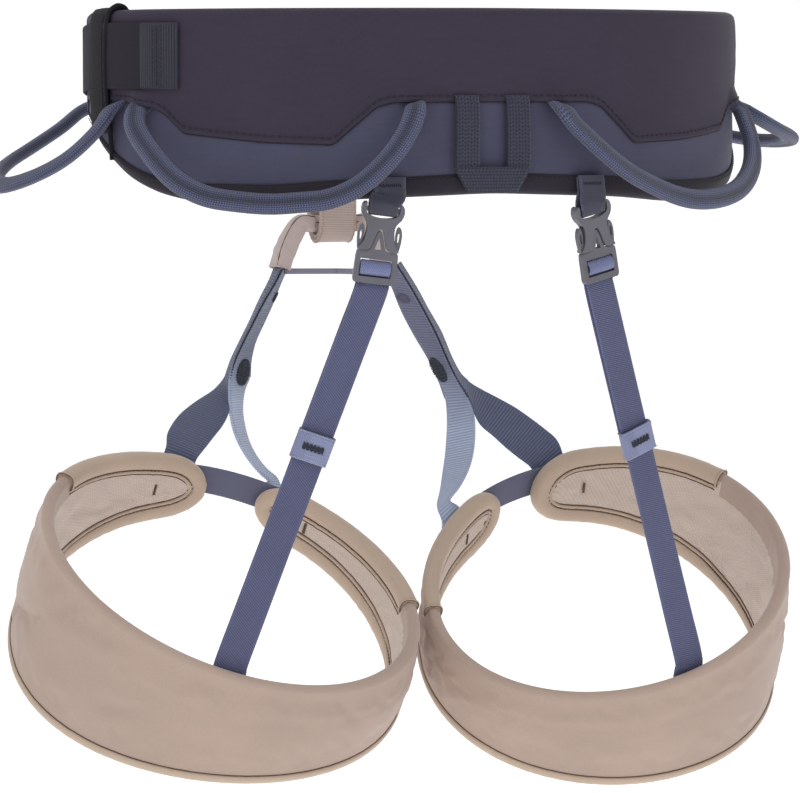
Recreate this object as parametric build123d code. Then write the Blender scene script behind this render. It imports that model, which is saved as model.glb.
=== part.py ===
from build123d import *
import math
import os

# Climbing harness (sit harness): padded waist belt, two padded leg loops, front webbing with
# two tie-in points and a belay loop, rear elastic risers with quick-release buckles, four gear
# loops and a haul loop.
# Frame: origin at the centre of the waist opening, half way up the belt at the back.
# +Z up, +Y towards the wearer's back, +X towards the wearer's left. Millimetres.

# ---------------------------------------------------------------- driving dimensions
BELT_A = 158.0          # half width of the belt's outer face (X)
BELT_B = 103.0          # half depth of the belt's outer face (Y)
PAD_END_DEG = 142.0     # where the padded belt ends at the front, each side
PANEL_T = 1.4           # outer fabric panels
STRUCT_OUT, STRUCT_IN = -1.6, -2.9   # load webbing inside the belt (offsets from outer face)
FOAM_OUT, FOAM_IN = -3.0, -8.0       # foam core
LINING_OUT, LINING_IN = -8.1, -9.0   # inner mesh lining
STRAP_W = 30.0          # waist webbing
STRAP_T = 1.7
LEG_T = 7.0             # leg loop thickness
LEG_SKIN = 0.8
WEB_W = 21.0            # leg loop webbing
WEB_T = 1.6
RISER_W = 15.5          # elastic risers
RISER_T = 1.4
GEAR_W, GEAR_T = 10.4, 6.0   # flattened gear loop tube
BELAY_W = 19.0          # belay loop webbing width
BELAY_T = 4.0
TIE_Y = -120.0          # plane of the two tie-in bars
LOW_BAR_Z = -62.5
UP_BAR_Z = 8.0
TAB_DEG = 18.0          # where the risers hang on the belt
GAP = 0.35              # running clearance between soft parts of different bodies

OUT = "parts"
os.makedirs(OUT, exist_ok=True)


# ---------------------------------------------------------------- small helpers
def interp(x, xs, ys):
    if x <= xs[0]:
        return ys[0]
    for a, b, u, v in zip(xs, xs[1:], ys, ys[1:]):
        if x <= b:
            return u + (v - u) * (x - a) / (b - a)
    return ys[-1]


def sub(a, b):
    return [a[i] - b[i] for i in range(3)]


def add(a, b, k=1.0):
    return [a[i] + k * b[i] for i in range(3)]


def dot(a, b):
    return sum(a[i] * b[i] for i in range(3))


def cross(a, b):
    return [a[1] * b[2] - a[2] * b[1], a[2] * b[0] - a[0] * b[2], a[0] * b[1] - a[1] * b[0]]


def unit(a):
    n = math.sqrt(dot(a, a))
    return [c / n for c in a]


def face_of(pts):
    return Face(Wire.make_polygon([Vector(*p) for p in pts], close=True))


def strip(sections):
    """Ruled solid through planar polygon sections that all have the same number of corners."""
    return Solid.make_loft([Wire.make_polygon([Vector(*p) for p in s], close=True) for s in sections], True)


def save(name, shape):
    shape.label = name
    export_step(shape, os.path.join(OUT, name + ".step"))


# ---------------------------------------------------------------- belt surface
def belt_pt(deg, z, off=0.0):
    t = math.radians(deg)
    return [(BELT_A + off) * math.sin(t), (BELT_B + off) * math.cos(t), z]


def belt_normal(deg):
    t = math.radians(deg)
    return unit([math.sin(t) / BELT_A, math.cos(t) / BELT_B, 0.0])


TOP_D, TOP_Z = [0, 70, 95, 105, 110, 125, 140, 150], [42.5, 42, 41.5, 40.5, 38, 33, 29, 27]
BOT_D = [0, 15, 25, 38, 53, 64, 72, 79, 85, 90, 97, 110, 130, 150]
BOT_Z = [-40.5, -42.0, -43.0, -46.0, -45.0, -40.7, -34.8, -27.0, -20.5, -13.0, -8.0, -6.0, -7.0, -8.0]
SEAM_D = [0, 17, 20, 27.5, 40, 56.5, 61, 64, 72, 83, 97]
SEAM_Z = [0.9, 0.8, -1.2, -18.1, -17.0, -13.2, -4.9, -1.8, 0.3, 1.1, 1.2]
BAND_D = [0, 20, 38, 53, 64, 72, 80, 88, 97]
BAND_H = [9.0, 8.6, 9.2, 8.6, 7.0, 6.2, 5.5, 4.0, 3.0]
LOWER_END = 96.0


def top_z(d):
    return interp(abs(d), TOP_D, TOP_Z)


def bot_z(d):
    return interp(abs(d), BOT_D, BOT_Z)


def seam_z(d):
    return interp(abs(d), SEAM_D, SEAM_Z)


def band_z(d):
    return bot_z(d) + interp(abs(d), BAND_D, BAND_H)


def round_end(z0, z1, deg, end):
    """Rounds the height of the pad towards its end at +-end degrees."""
    left = end - abs(deg)
    reach = 8.0
    if left >= reach:
        return z0, z1
    f = max(0.35, math.sqrt(max(0.0, 1.0 - (1.0 - left / reach) ** 2)))
    m, h = (z0 + z1) / 2, (z1 - z0) / 2
    return m - h * f, m + h * f


def degs(a, b, extra=(), step=6.0):
    n = max(1, int(round((b - a) / step)))
    s = {round(a + (b - a) * i / n, 3) for i in range(n + 1)}
    s |= {e for e in extra if a < e < b}
    s = sorted(s)
    out = [s[0]]
    for d in s[1:]:
        if d - out[-1] > 0.8:
            out.append(d)
    out[-1] = b
    return out


def sym(vals):
    return sorted({s * v for v in vals for s in (1, -1)})


def thin_out(vals, gap):
    out = []
    for v in sorted(vals):
        if not out or v - out[-1] > gap:
            out.append(v)
    return out


# One common set of stations, so that the layers of the belt stay parallel
BELT_GRID = thin_out(set(sym(range(0, 141, 4))) | set(sym(BOT_D)) | set(sym(SEAM_D)) | set(sym([95, 105, 110, 125, 95.8, 97.0]))
                     | set(sym([PAD_END_DEG - 0.9, PAD_END_DEG - 2.2, PAD_END_DEG - 4.5, PAD_END_DEG - 8.0])), 0.45)


def between(grid, a, b):
    return [a] + [d for d in grid if a + 0.3 < d < b - 0.3] + [b]


def belt_wall(a, b, lo, hi, o_in, o_out, end=PAD_END_DEG):
    secs = []
    for d in between(BELT_GRID, a, b):
        z0, z1 = lo(d), hi(d)
        z0, z1 = round_end(z0, z1, d, end)
        secs.append([belt_pt(d, z0, o_in), belt_pt(d, z1, o_in), belt_pt(d, z1, o_out), belt_pt(d, z0, o_out)])
    return strip(secs)


foam = belt_wall(-141.5, 141.5, lambda d: bot_z(d) + 1.2, lambda d: top_z(d) - 1.2, FOAM_IN, FOAM_OUT)
save("belt_foam", foam)

lining = belt_wall(-142.0, 142.0, bot_z, top_z, LINING_IN, LINING_OUT)
save("belt_lining", lining)

struct = belt_wall(-136.0, 136.0, lambda d: interp(abs(d), [0, 60, 95, 136], [-14, -10, 2, -3]),
                   lambda d: interp(abs(d), [0, 60, 95, 136], [24, 26, 32, 22]), STRUCT_IN, STRUCT_OUT, 400.0)
save("belt_load_webbing", struct)


def upper_low(d):
    if abs(d) > LOWER_END:
        return bot_z(d)
    return seam_z(d) + 0.12


upper = belt_wall(-142.0, 142.0, lambda d: upper_low(d), top_z, -PANEL_T, 0.0)
save("belt_upper_panel", upper)

lower = belt_wall(-LOWER_END + 0.4, LOWER_END - 0.4, lambda d: band_z(d) + 0.1, lambda d: seam_z(d) - 0.1, -PANEL_T, 0.0, 400.0)
save("belt_lower_panel", lower)

band = belt_wall(-LOWER_END + 0.4, LOWER_END - 0.4, bot_z, lambda d: band_z(d), -PANEL_T, 0.0, 400.0)
save("belt_bottom_band", band)

# ---------------------------------------------------------------- waist webbing and buckle
def strap_zc(d):
    return interp(abs(d), [90.0, 150.0], [21.0, 10.0])


def strap_section(d, off, w=STRAP_W, t=STRAP_T, zc=None):
    z = strap_zc(d) if zc is None else zc
    return [belt_pt(d, z - w / 2, off), belt_pt(d, z + w / 2, off), belt_pt(d, z + w / 2, off + t), belt_pt(d, z - w / 2, off + t)]


# Waist strap: sewn on the right pad, crosses the front, goes through the buckle and back along
# the left pad to the elastic keeper. Angles run the long way round: 240 is -120.
STRAP_ROUTE = [(240, 0.4), (236, 0.4), (230, 0.4), (224, 0.4), (219, 0.3), (214, -0.8), (209, -2.2), (203, -3.2), (196, -3.6),
               (188, -3.8), (180, -3.8), (172, -3.8), (166, -3.6), (162.5, -3.2), (160.0, -1.6), (157.5, 1.4), (155.0, 3.4), (152.5, 4.3), (150.0, 4.5),
               (147.5, 4.3), (143, 3.4), (138, 2.7), (132, 2.3), (125, 2.2), (118, 2.1), (111, 1.6), (104, 1.1), (98, 0.9), (93, 0.9), (88, 0.9), (84, 0.9), (79.2, 0.9)]
waist_strap = strip([strap_section(d if d <= 180 else d, o, zc=strap_zc(360 - d if d > 180 else d)) for d, o in STRAP_ROUTE])
save("waist_strap", waist_strap)

# Free tail of the strap beyond the keeper, with its folded and stitched end.
tail = strip([strap_section(d, 0.9) for d in (78.4, 75, 71, 68, 65.2)])
tail_fold = strip([strap_section(d, 0.5, STRAP_W, 3.2) for d in (65.4, 62, 59.5, 57.2)])
save("waist_tail_end", tail + tail_fold)

# Black elastic keeper: a band over the strap at the wearer's left.
K0, K1 = 78.8, 88.6
block = strip([[belt_pt(d, -14.0, 0.3), belt_pt(d, top_z(d) - 0.3, 0.3), belt_pt(d, top_z(d) - 0.3, 3.9), belt_pt(d, -14.0, 3.9)] for d in (K0, 82, 85, K1)])
tunnel = strip([[belt_pt(d, strap_zc(d) - 15.6, -1.0), belt_pt(d, strap_zc(d) + 15.6, -1.0), belt_pt(d, strap_zc(d) + 15.6, 2.95), belt_pt(d, strap_zc(d) - 15.6, 2.95)] for d in (K0 - 1.5, 82, 85, K1 + 1.5)])
save("tail_keeper", block - tunnel)

# Buckle frame: forged plate with one window. It stands on the strap line at 156 degrees.
BUCKLE_DEG = 156.0
bc = belt_pt(BUCKLE_DEG, 0.0, 0.0)
bn = belt_normal(BUCKLE_DEG)
bt = unit([math.cos(math.radians(BUCKLE_DEG)) * BELT_A, -math.sin(math.radians(BUCKLE_DEG)) * BELT_B, 0.0])  # towards larger angle
BUCKLE_Z = 10.2


def buckle_plane(off):
    o = [bc[0] + bn[0] * off, bc[1] + bn[1] * off, BUCKLE_Z]
    return Plane(origin=Vector(*o), x_dir=Vector(*bt), z_dir=Vector(*bn))


def plate_on(plane, sk, t):
    return extrude(plane * sk, amount=t)


# local x runs along the strap towards the wearer's right, local y is up
frame_sk = RectangleRounded(40.0, 47.0, 5.0) - Pos(-1.0, 0) * Rectangle(27.0, 34.0)
frame_plate = plate_on(buckle_plane(0.0), frame_sk, 2.6)
save("waist_buckle_frame", frame_plate)

# Sliding bar of the buckle: rides on the frame's two side rails, clamps the strap.
slider_sk = RectangleRounded(9.5, 43.0, 2.5)
slider_plate = plate_on(buckle_plane(5.7), Pos(5.0, 0) * slider_sk, 2.2)
rail_a = plate_on(buckle_plane(2.85), Pos(5.0, 18.8) * Rectangle(9.0, 4.6), 2.9)
rail_b = plate_on(buckle_plane(2.85), Pos(5.0, -18.8) * Rectangle(9.0, 4.6), 2.9)
save("waist_buckle_slider", slider_plate + rail_a + rail_b)

# Short webbing that anchors the buckle frame to the left pad.
anchor = strip([[belt_pt(d, strap_zc(d) - w / 2, o), belt_pt(d, strap_zc(d) + w / 2, o), belt_pt(d, strap_zc(d) + w / 2, o + 1.4), belt_pt(d, strap_zc(d) - w / 2, o + 1.4)]
                for d, o, w in ((116, 0.3, 31), (122, 0.3, 31), (129, 0.3, 31), (136, 0.4, 31), (141, 0.6, 31), (145.5, 0.9, 31))])
save("buckle_anchor_webbing", anchor)

# ---------------------------------------------------------------- tie-in points and belay loop
def ribbon(stations, w, t):
    """stations: (centre, width direction); the width direction is squared up to the path."""
    secs = []
    n = len(stations)
    for i, (c, wd) in enumerate(stations):
        a = stations[max(0, i - 1)][0]
        b = stations[min(n - 1, i + 1)][0]
        tan = unit(sub(b, a))
        wd = unit(add(list(wd), tan, -dot(wd, tan)))
        nn = cross(tan, wd)
        ww = w[i] if isinstance(w, (list, tuple)) else w
        tt = t[i] if isinstance(t, (list, tuple)) else t
        secs.append([add(add(c, wd, -ww / 2), nn, -tt / 2), add(add(c, wd, ww / 2), nn, -tt / 2),
                     add(add(c, wd, ww / 2), nn, tt / 2), add(add(c, wd, -ww / 2), nn, tt / 2)])
    return strip(secs)


up = [0.0, 0.0, 1.0]
upper_path = [(-31, -103.6), (-26, -105.2), (-21, -111), (-15.5, -117.2), (-9, -119.9), (0, -120.4), (9, -119.9), (15.5, -117.2), (21, -111), (26, -105.2), (31, -103.6)]
upper_tie = ribbon([([x, y, UP_BAR_Z], up) for x, y in upper_path], 16.0, 3.2)
save("upper_tie_in_loop", upper_tie)

low_bar = Plane(origin=(-13.0, TIE_Y, LOW_BAR_Z), z_dir=(1, 0, 0)) * Cylinder(4.2, 26.0, align=(Align.CENTER, Align.CENTER, Align.MIN))
save("lower_tie_in_bar", low_bar)

belay_bottom, belay_top, belay_r = -60.5, 16.0, 11.5
belay_out = SlotOverall(belay_top - belay_bottom + 2 * belay_r, 2 * belay_r)
belay_in = SlotOverall(belay_top - belay_bottom + 2 * (belay_r - BELAY_T), 2 * (belay_r - BELAY_T))
belay_plane = Plane(origin=(-BELAY_W / 2, TIE_Y, (belay_top + belay_bottom) / 2), x_dir=(0, 0, 1), z_dir=(1, 0, 0))
belay = extrude(belay_plane * (belay_out - belay_in), amount=BELAY_W)
save("belay_loop", belay)


# ---------------------------------------------------------------- leg loops
def rot3(pitch, roll, yaw):
    cp, sp = math.cos(pitch), math.sin(pitch)
    cr, sr = math.cos(roll), math.sin(roll)
    cy, sy = math.cos(yaw), math.sin(yaw)
    rx = [[1, 0, 0], [0, cp, sp], [0, -sp, cp]]
    ry = [[cr, 0, -sr], [0, 1, 0], [sr, 0, cr]]
    rz = [[cy, -sy, 0], [sy, cy, 0], [0, 0, 1]]

    def mm(a, b):
        return [[sum(a[i][k] * b[k][j] for k in range(3)) for j in range(3)] for i in range(3)]
    return mm(rz, mm(ry, rx))


LEGS = {
    "left": dict(c=(89.67, -4.0, -218.24), p=95.86, q=82.25, pitch=17.6, roll=10.8, yaw=0.2,
                 zt=(0.0, -20.44, 5.77, -0.42), zb=(-44.96, -32.2, -9.81, 4.96), a0=-161.5, a1=181.5, s=1,
                 bind=(122.0, -91.0), bridge=(176.5, 200.3), riser_psi=9.5),
    "right": dict(c=(-101.91, -4.0, -227.63), p=91.13, q=78.53, pitch=16.4, roll=0.0, yaw=3.7,
                  zt=(0.0, -26.16, -22.39, 1.12), zb=(-44.96, -35.4, -8.19, 3.53), a0=-185.0, a1=160.5, s=-1,
                  bind=(97.5, -119.0), bridge=(158.6, 180.0), riser_psi=-8.5),
}
for g in LEGS.values():
    g["m"] = rot3(math.radians(g["pitch"]), math.radians(g["roll"]), math.radians(g["yaw"]))


def fz(k, psi):
    return k[0] + k[1] * math.cos(psi) + k[2] * math.sin(psi) + k[3] * math.cos(2 * psi)


def leg_pt(g, deg, z, off=0.0):
    """z is measured along the loop's own axis; deg 0 is the rear, positive towards +X."""
    s, c = math.sin(math.radians(deg)), math.cos(math.radians(deg))
    n = math.hypot(s / g["p"], c / g["q"])
    x, y = g["p"] * s + off * s / g["p"] / n, g["q"] * c + off * c / g["q"] / n
    m = g["m"]
    return [m[i][0] * x + m[i][1] * y + m[i][2] * z + g["c"][i] for i in range(3)]


def leg_z(g, deg, inset=0.0):
    psi = math.radians(deg)
    t, b = fz(g["zt"], psi), fz(g["zb"], psi)
    left = min(deg - g["a0"], g["a1"] - deg)
    reach = 11.0
    if left < reach:
        f = max(0.34, math.sqrt(max(0.0, 1.0 - (1.0 - left / reach) ** 2)))
        m, h = 0.5 * (t + b), 0.5 * (t - b)
        t, b = m + h * f, m - h * f
    return t - inset, b + inset


def leg_degs(g, a=None, b=None):
    a = g["a0"] if a is None else a
    b = g["a1"] if b is None else b
    ex = [g["a0"] + e for e in (1.2, 3.0, 6.0, 11.0)] + [g["a1"] - e for e in (1.2, 3.0, 6.0, 11.0)]
    n = 42
    grid = {g["a0"] + (g["a1"] - g["a0"]) * i / n for i in range(n + 1)}
    return between(thin_out(grid | set(ex) | set(g["bind"]), 0.6), a, b)


def leg_wall(g, o_in, o_out, inset=0.0, a=None, b=None):
    secs = []
    for d in leg_degs(g, a, b):
        t, bo = leg_z(g, d, inset)
        secs.append([leg_pt(g, d, bo, o_in), leg_pt(g, d, t, o_in), leg_pt(g, d, t, o_out), leg_pt(g, d, bo, o_out)])
    return strip(secs)


def rim(g, a, b, lo, hi):
    secs = []
    for d in leg_degs(g, a, b):
        t, _ = leg_z(g, d)
        secs.append([leg_pt(g, d, t - lo, -LEG_T), leg_pt(g, d, t - hi, -LEG_T), leg_pt(g, d, t - hi, -LEG_SKIN - 0.1), leg_pt(g, d, t - lo, -LEG_SKIN - 0.1)])
    return strip(secs)


TAB_OFF = 1.2


def buckle_frame(s):
    """Origin, across, down and outward directions of one riser buckle."""
    n = belt_normal(s * TAB_DEG)
    o = belt_pt(s * TAB_DEG, 0.0, 0.0)
    o = [o[0] + n[0] * 4.0 + (3.5 if s > 0 else 2.8), o[1] + n[1] * 4.0, -47.3 if s > 0 else -48.4]
    down = unit([0.101, -0.12, -0.985] if s > 0 else [-0.205, -0.12, -0.97])
    n = unit(add(n, down, -dot(n, down)))
    across = cross(down, n)      # +u points towards -X or +X; the profiles are symmetric
    return o, across, down, n


def bpt(fr, u, v, w):
    o, ac, dn, n = fr
    return [o[i] + ac[i] * u + dn[i] * v + n[i] * w for i in range(3)]


def bplane(fr, w):
    o, ac, dn, n = fr
    # local x across, local y down the buckle
    z = cross(ac, dn)
    return Plane(origin=Vector(*bpt(fr, 0, 0, w)), x_dir=Vector(*ac), z_dir=Vector(*z)), (1.0 if dot(z, n) > 0 else -1.0)


def bextrude(fr, sk, w0, w1):
    """Extrudes a sketch in (u, v) from outward level w0 to w1."""
    pl, sg = bplane(fr, w0)
    return extrude(pl * sk, amount=(w1 - w0) * sg)


def mirror_pts(half):
    return half + [(-u, v) for u, v in reversed(half)]


def poly(pts):
    clean = [pts[0]]
    for q in pts[1:]:
        if math.hypot(q[0] - clean[-1][0], q[1] - clean[-1][1]) > 1e-6:
            clean.append(q)
    return make_face(Polyline(*clean, close=True))


FEM = [(7.7, -3.2), (8.7, -3.0), (9.4, -1.8), (9.7, 0.0), (9.4, 1.9), (8.6, 3.6), (7.4, 5.0), (6.6, 6.2), (6.2, 7.6), (6.2, 9.4), (6.5, 11.8), (7.0, 14.0),
       (7.9, 15.8), (9.0, 17.0), (9.3, 17.8), (8.9, 18.2), (5.6, 18.2), (4.5, 17.9), (3.8, 17.2), (3.3, 16.0), (2.6, 13.4), (1.7, 10.4), (1.1, 9.0), (0.5, 8.4)]
SPEAR = [(0.35, 9.2), (0.8, 9.8), (1.35, 11.0), (2.15, 13.8), (2.85, 16.3), (3.4, 17.6), (4.3, 18.4), (5.6, 18.7), (8.9, 18.7), (9.3, 19.4), (9.5, 21.5), (9.6, 31.4), (9.2, 32.6), (8.4, 33.1)]
ARM = [(7.5, 18.3), (9.1, 18.3), (9.5, 16.6), (9.9, 13.6), (10.0, 10.6), (9.6, 8.4), (8.9, 7.0), (8.2, 6.6), (7.6, 7.2), (7.2, 8.8), (7.1, 11.0), (7.3, 13.6), (7.4, 16.0)]
ARM_SLOT = [(8.0, 9.6), (8.9, 9.6), (9.0, 11.0), (8.8, 13.8), (8.1, 13.8), (7.95, 11.5)]


def female(fr):
    body = bextrude(fr, poly(mirror_pts(FEM)), -2.3, 2.3)
    # room for the webbing: open above and below the bar
    body -= bextrude(fr, poly(mirror_pts([(7.5, -4.5), (7.5, -1.2)])), -4, 4)
    body -= bextrude(fr, poly([(7.4, 0.9), (6.8, 2.0), (4.6, 3.1), (2.4, 3.6), (0, 3.8), (-2.4, 3.6), (-4.6, 3.1), (-6.8, 2.0), (-7.4, 0.9)]), -4, 4)
    # the bar is thinner than the body
    body -= bextrude(fr, Pos(0, -0.15) * Rectangle(15.0, 2.2), 1.1, 4)
    body -= bextrude(fr, Pos(0, -0.15) * Rectangle(15.0, 2.2), -4, -1.1)
    # pockets for the side arms
    for s in (1, -1):
        body -= bextrude(fr, poly([(s * 5.2, 6.0), (s * 13.0, 6.0), (s * 13.0, 19.0), (s * 5.2, 19.0)]), -1.4, 1.4)
    return body


def male(fr):
    body = bextrude(fr, poly(mirror_pts(SPEAR)), -1.5, 1.5)
    body -= bextrude(fr, poly([(0, 12.2), (1.5, 17.4), (1.3, 17.9), (-1.3, 17.9), (-1.5, 17.4)]), -3, 3)
    body -= bextrude(fr, Pos(0, 23.55) * Rectangle(14.4, 2.9), -3, 3)
    body -= bextrude(fr, Pos(0, 28.65) * Rectangle(14.4, 2.9), -3, 3)
    # the middle bar sits low so that the strap can pass over it
    body -= bextrude(fr, Pos(0, 26.1) * Rectangle(14.4, 2.4), 0.4, 3)
    return body


def arm(fr, s):
    body = bextrude(fr, poly([(s * u, v) for u, v in ARM]), -1.15, 1.15)
    body -= bextrude(fr, poly([(s * u, v) for u, v in ARM_SLOT]), -3, 3)
    return body


def riser_path(g, fr):
    """Centre line of the elastic from the buckle to the inside of the leg loop's back."""
    t, _ = leg_z(g, g["riser_psi"])
    top = bpt(fr, 0, 36.0, 0)
    low = leg_pt(g, g["riser_psi"], t + 3.0, -LEG_T - 2.6)
    end = leg_pt(g, g["riser_psi"], t - 13.0, -LEG_T - 2.6)
    return top, low, end


def tube(pts, wdirs, w, t):
    """Flattened six-sided tube along the points."""
    secs = []
    n = len(pts)
    for i, c in enumerate(pts):
        tan = unit(sub(pts[min(n - 1, i + 1)], pts[max(0, i - 1)]))
        wd = unit(add(list(wdirs[i]), tan, -dot(wdirs[i], tan)))
        nn = cross(tan, wd)
        sec = []
        for a, b in ((-1, 0), (-0.55, -1), (0.55, -1), (1, 0), (0.55, 1), (-0.55, 1)):
            sec.append(add(add(c, wd, a * w / 2), nn, b * t / 2))
        secs.append(sec)
    return strip(secs)


# Centre lines of the front webbing, top to bottom, as (x, y, z)
WEB = {
    "left": dict(
        upper=[(29.8, -119, -86.5), (34.0, -118, -96.0), (39.9, -116, -109.1), (46.6, -113, -124.8), (52.0, -110.6, -135.5)],
        outer=[(56.0, -110.4, -139.5), (62.5, -107.6, -144.5), (69.5, -104.0, -149.5), (76.5, -99.5, -156.5), (82.5, -95.0, -164.0), (87.0, -91.2, -172.5), (88.5, -89.0, -184.0)],
        outer_w=[(0.5, 0.86, 0), (0.75, 0.65, 0.1), (0.88, 0.2, 0.42), (0.85, -0.05, 0.5), (0.9, -0.08, 0.4), (0.97, -0.05, 0.2), (1.0, 0.02, 0.05)],
        inner=[(52.6, -110.2, -139.0), (54.9, -107.5, -147.0), (56.4, -104.0, -158.5), (54.2, -99.5, -171.0), (50.2, -95.0, -180.5), (46.0, -91.6, -188.0)],
        inner_w=[(0.34, 0.94, 0), (0.3, 0.95, 0), (0.25, 0.96, 0), (0.3, 0.95, 0.0), (0.5, 0.86, 0.1), (0.7, 0.7, 0.1)]),
    "right": dict(
        upper=[(-27.0, -119, -86.5), (-32.2, -118, -95.0), (-42.8, -116, -109.5), (-51.0, -113, -125.0), (-56.0, -110.6, -135.5)],
        outer=[(-60.0, -110.4, -140.5), (-66.0, -107.6, -146.5), (-73.5, -104.0, -152.5), (-82.0, -99.5, -159.5), (-91.0, -95.0, -167.5), (-100.0, -91.6, -177.0), (-104.5, -88.6, -188.5)],
        outer_w=[(-0.5, 0.86, 0), (-0.75, 0.65, 0.1), (-0.88, 0.2, 0.42), (-0.8, -0.05, 0.58), (-0.78, -0.08, 0.6), (-0.85, -0.05, 0.45), (-0.95, 0.02, 0.25)],
        inner=[(-57.6, -110.2, -139.5), (-62.0, -107.5, -150.0), (-64.0, -103.5, -163.0), (-61.5, -98.5, -177.0), (-55.5, -93.0, -190.5), (-49.5, -88.5, -201.0)],
        inner_w=[(-0.34, 0.94, 0), (-0.34, 0.94, 0), (-0.34, 0.94, 0), (-0.34, 0.94, 0.0), (-0.5, 0.86, 0.1), (-0.6, 0.8, 0.1)]),
}
SLEEVE = {"left": [(17.6, TIE_Y, -62.4), (21.4, TIE_Y, -67.2), (24.6, TIE_Y, -73.2), (27.0, TIE_Y, -79.2), (28.6, TIE_Y + 0.3, -84.4)],
          "right": [(-17.6, TIE_Y, -62.4), (-20.6, TIE_Y, -67.2), (-22.8, TIE_Y, -73.2), (-24.6, TIE_Y, -79.2), (-26.0, TIE_Y + 0.3, -84.4)]}



def on_leg(g, deg, dz, off):
    return tuple(leg_pt(g, deg, fz(g["zt"], math.radians(deg)) + dz, off))


def leg_across(g, deg):
    return tuple(unit(sub(leg_pt(g, deg + 2.0, 0.0, 0.0), leg_pt(g, deg - 2.0, 0.0, 0.0))))


# The webbing ends are sewn flat on the outer faces of the loops' front arms.
for side, (od, idg) in {"left": (177.0, 206.0), "right": (-180.5, 146.0)}.items():
    g, w = LEGS[side], WEB[side]
    so = -1 if side == "left" else 1
    w["outer"] = w["outer"][:-2] + [on_leg(g, od, 1.0, 3.4), on_leg(g, od, -13.0, 2.8)]
    w["outer_w"] = w["outer_w"][:-2] + [tuple(-so * -c for c in leg_across(g, od))] * 2
    w["inner"] = w["inner"][:-1] + [on_leg(g, idg, 0.5, 4.8), on_leg(g, idg, -12.0, 3.4)]
    w["inner_w"] = w["inner_w"][:-1] + [w["inner_w"][-1], tuple(so * c for c in leg_across(g, idg))]

for side, g in LEGS.items():
    s = g["s"]
    save("leg_foam_" + side, leg_wall(g, -LEG_T + LEG_SKIN + 0.1, -LEG_SKIN - 0.1, 2.2))
    save("leg_shell_" + side, leg_wall(g, -LEG_SKIN, 0.0))
    save("leg_lining_" + side, leg_wall(g, -LEG_T, -LEG_T + LEG_SKIN, 2.2))
    b_out, b_in = g["bind"]
    if s > 0:
        parts = [rim(g, b_out, g["a1"], 2.0, 0.0), rim(g, g["a0"], b_in, 2.0, 0.0)]
    else:
        parts = [rim(g, b_out, g["a1"], 2.0, 0.0), rim(g, g["a0"], b_in, 2.0, 0.0)]
    save("leg_binding_" + side, Compound(children=parts))
    a, b = g["bridge"]
    secs = []
    for i in range(8):
        d = a + (b - a) * i / 7
        psi = math.radians(d)
        zc = 0.62 * fz(g["zt"], psi) + 0.38 * fz(g["zb"], psi)
        secs.append([leg_pt(g, d, zc - 7.0, 0.4), leg_pt(g, d, zc + 7.0, 0.4), leg_pt(g, d, zc + 7.0, 1.6), leg_pt(g, d, zc - 7.0, 1.6)])
    save("leg_bridge_" + side, strip(secs))

    w = WEB[side]
    dirw = (0.34 * s, 0.94, 0.0)
    save("leg_webbing_upper_" + side, ribbon([(list(c), dirw) for c in w["upper"]], WEB_W, 2 * WEB_T))
    save("leg_webbing_outer_" + side, ribbon([(list(c), d) for c, d in zip(w["outer"], w["outer_w"])], WEB_W, WEB_T))
    save("leg_webbing_inner_" + side, ribbon([(list(c), d) for c, d in zip(w["inner"], w["inner_w"])], [21, 20, 19, 18, 17, 16, 16], WEB_T))
    save("tie_in_sleeve_" + side, ribbon([(list(c), (0, 1, 0)) for c in SLEEVE[side]], [12.0, 14.0, 16.0, 18.0, 19.0], [9.0, 9.6, 9.6, 9.0, 7.0]))
    x1 = 25.6 if s > 0 else -22.6
    save("spacer_elastic_" + side, Pos((x1 + 0.25 * s) / 2, -116.0, -86.6) * Box(abs(x1) - 0.25, 1.2, 2.8))

    fr = buckle_frame(s)
    save("riser_buckle_female_" + side, female(fr))
    save("riser_buckle_male_" + side, male(fr))
    save("riser_buckle_arm_inner_" + side, arm(fr, 1))
    save("riser_buckle_arm_outer_" + side, arm(fr, -1))
    # tab: two plies from the bartack on the belt down round the buckle's bar
    at = s * TAB_DEG + (0.0 if s > 0 else 0.8)
    n = belt_normal(at)
    p_top = belt_pt(at, -28.5, 0)
    p_mid = belt_pt(at, -40.0, 0)

    def along(p, k):
        return [p[0] + n[0] * k, p[1] + n[1] * k, p[2]]
    front = [along(p_top, TAB_OFF + 1.7), along(p_mid, TAB_OFF + 2.9), bpt(fr, 0, -1.4, 2.0), bpt(fr, 0, 1.9, 2.0)]
    back = [along(p_top, TAB_OFF + 0.6), along(p_mid, TAB_OFF + 0.9), bpt(fr, 0, -1.4, -2.0), bpt(fr, 0, 1.9, -2.0)]
    ac = fr[1]
    tab = ribbon([(c, ac) for c in front], [13.8, 13.2, 12.6, 12.2], 1.0) + ribbon([(c, ac) for c in back], [13.8, 13.2, 12.6, 12.2], 1.0)
    tab += bextrude(fr, Pos(0, 1.6) * Rectangle(12.4, 0.9), -2.4, 2.4)
    save("riser_tab_" + side, tab)

    top, low, end = riser_path(g, fr)
    wd = fr[1]
    mid = [top[i] + (low[i] - top[i]) * 0.5 for i in range(3)]
    save("riser_strap_" + side, ribbon([(top, wd), (mid, wd), (low, wd), (end, wd)], RISER_W, RISER_T))
    d = unit(sub(low, top))
    # the keeper sits below the middle of the strap
    kc = [top[i] + d[i] * (76.5 if s > 0 else 79.0) for i in range(3)]
    wd2 = unit(add(list(wd), d, -dot(wd, d)))
    nz = cross(d, wd2)
    kp = Plane(origin=Vector(*kc), x_dir=Vector(*wd2), z_dir=Vector(*nz))
    keeper = kp * Box(RISER_W + 2.6, 14.0, RISER_T + 3.0) - kp * Box(RISER_W + 0.8, 20.0, RISER_T + 0.9)
    save("riser_keeper_" + side, keeper)

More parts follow.
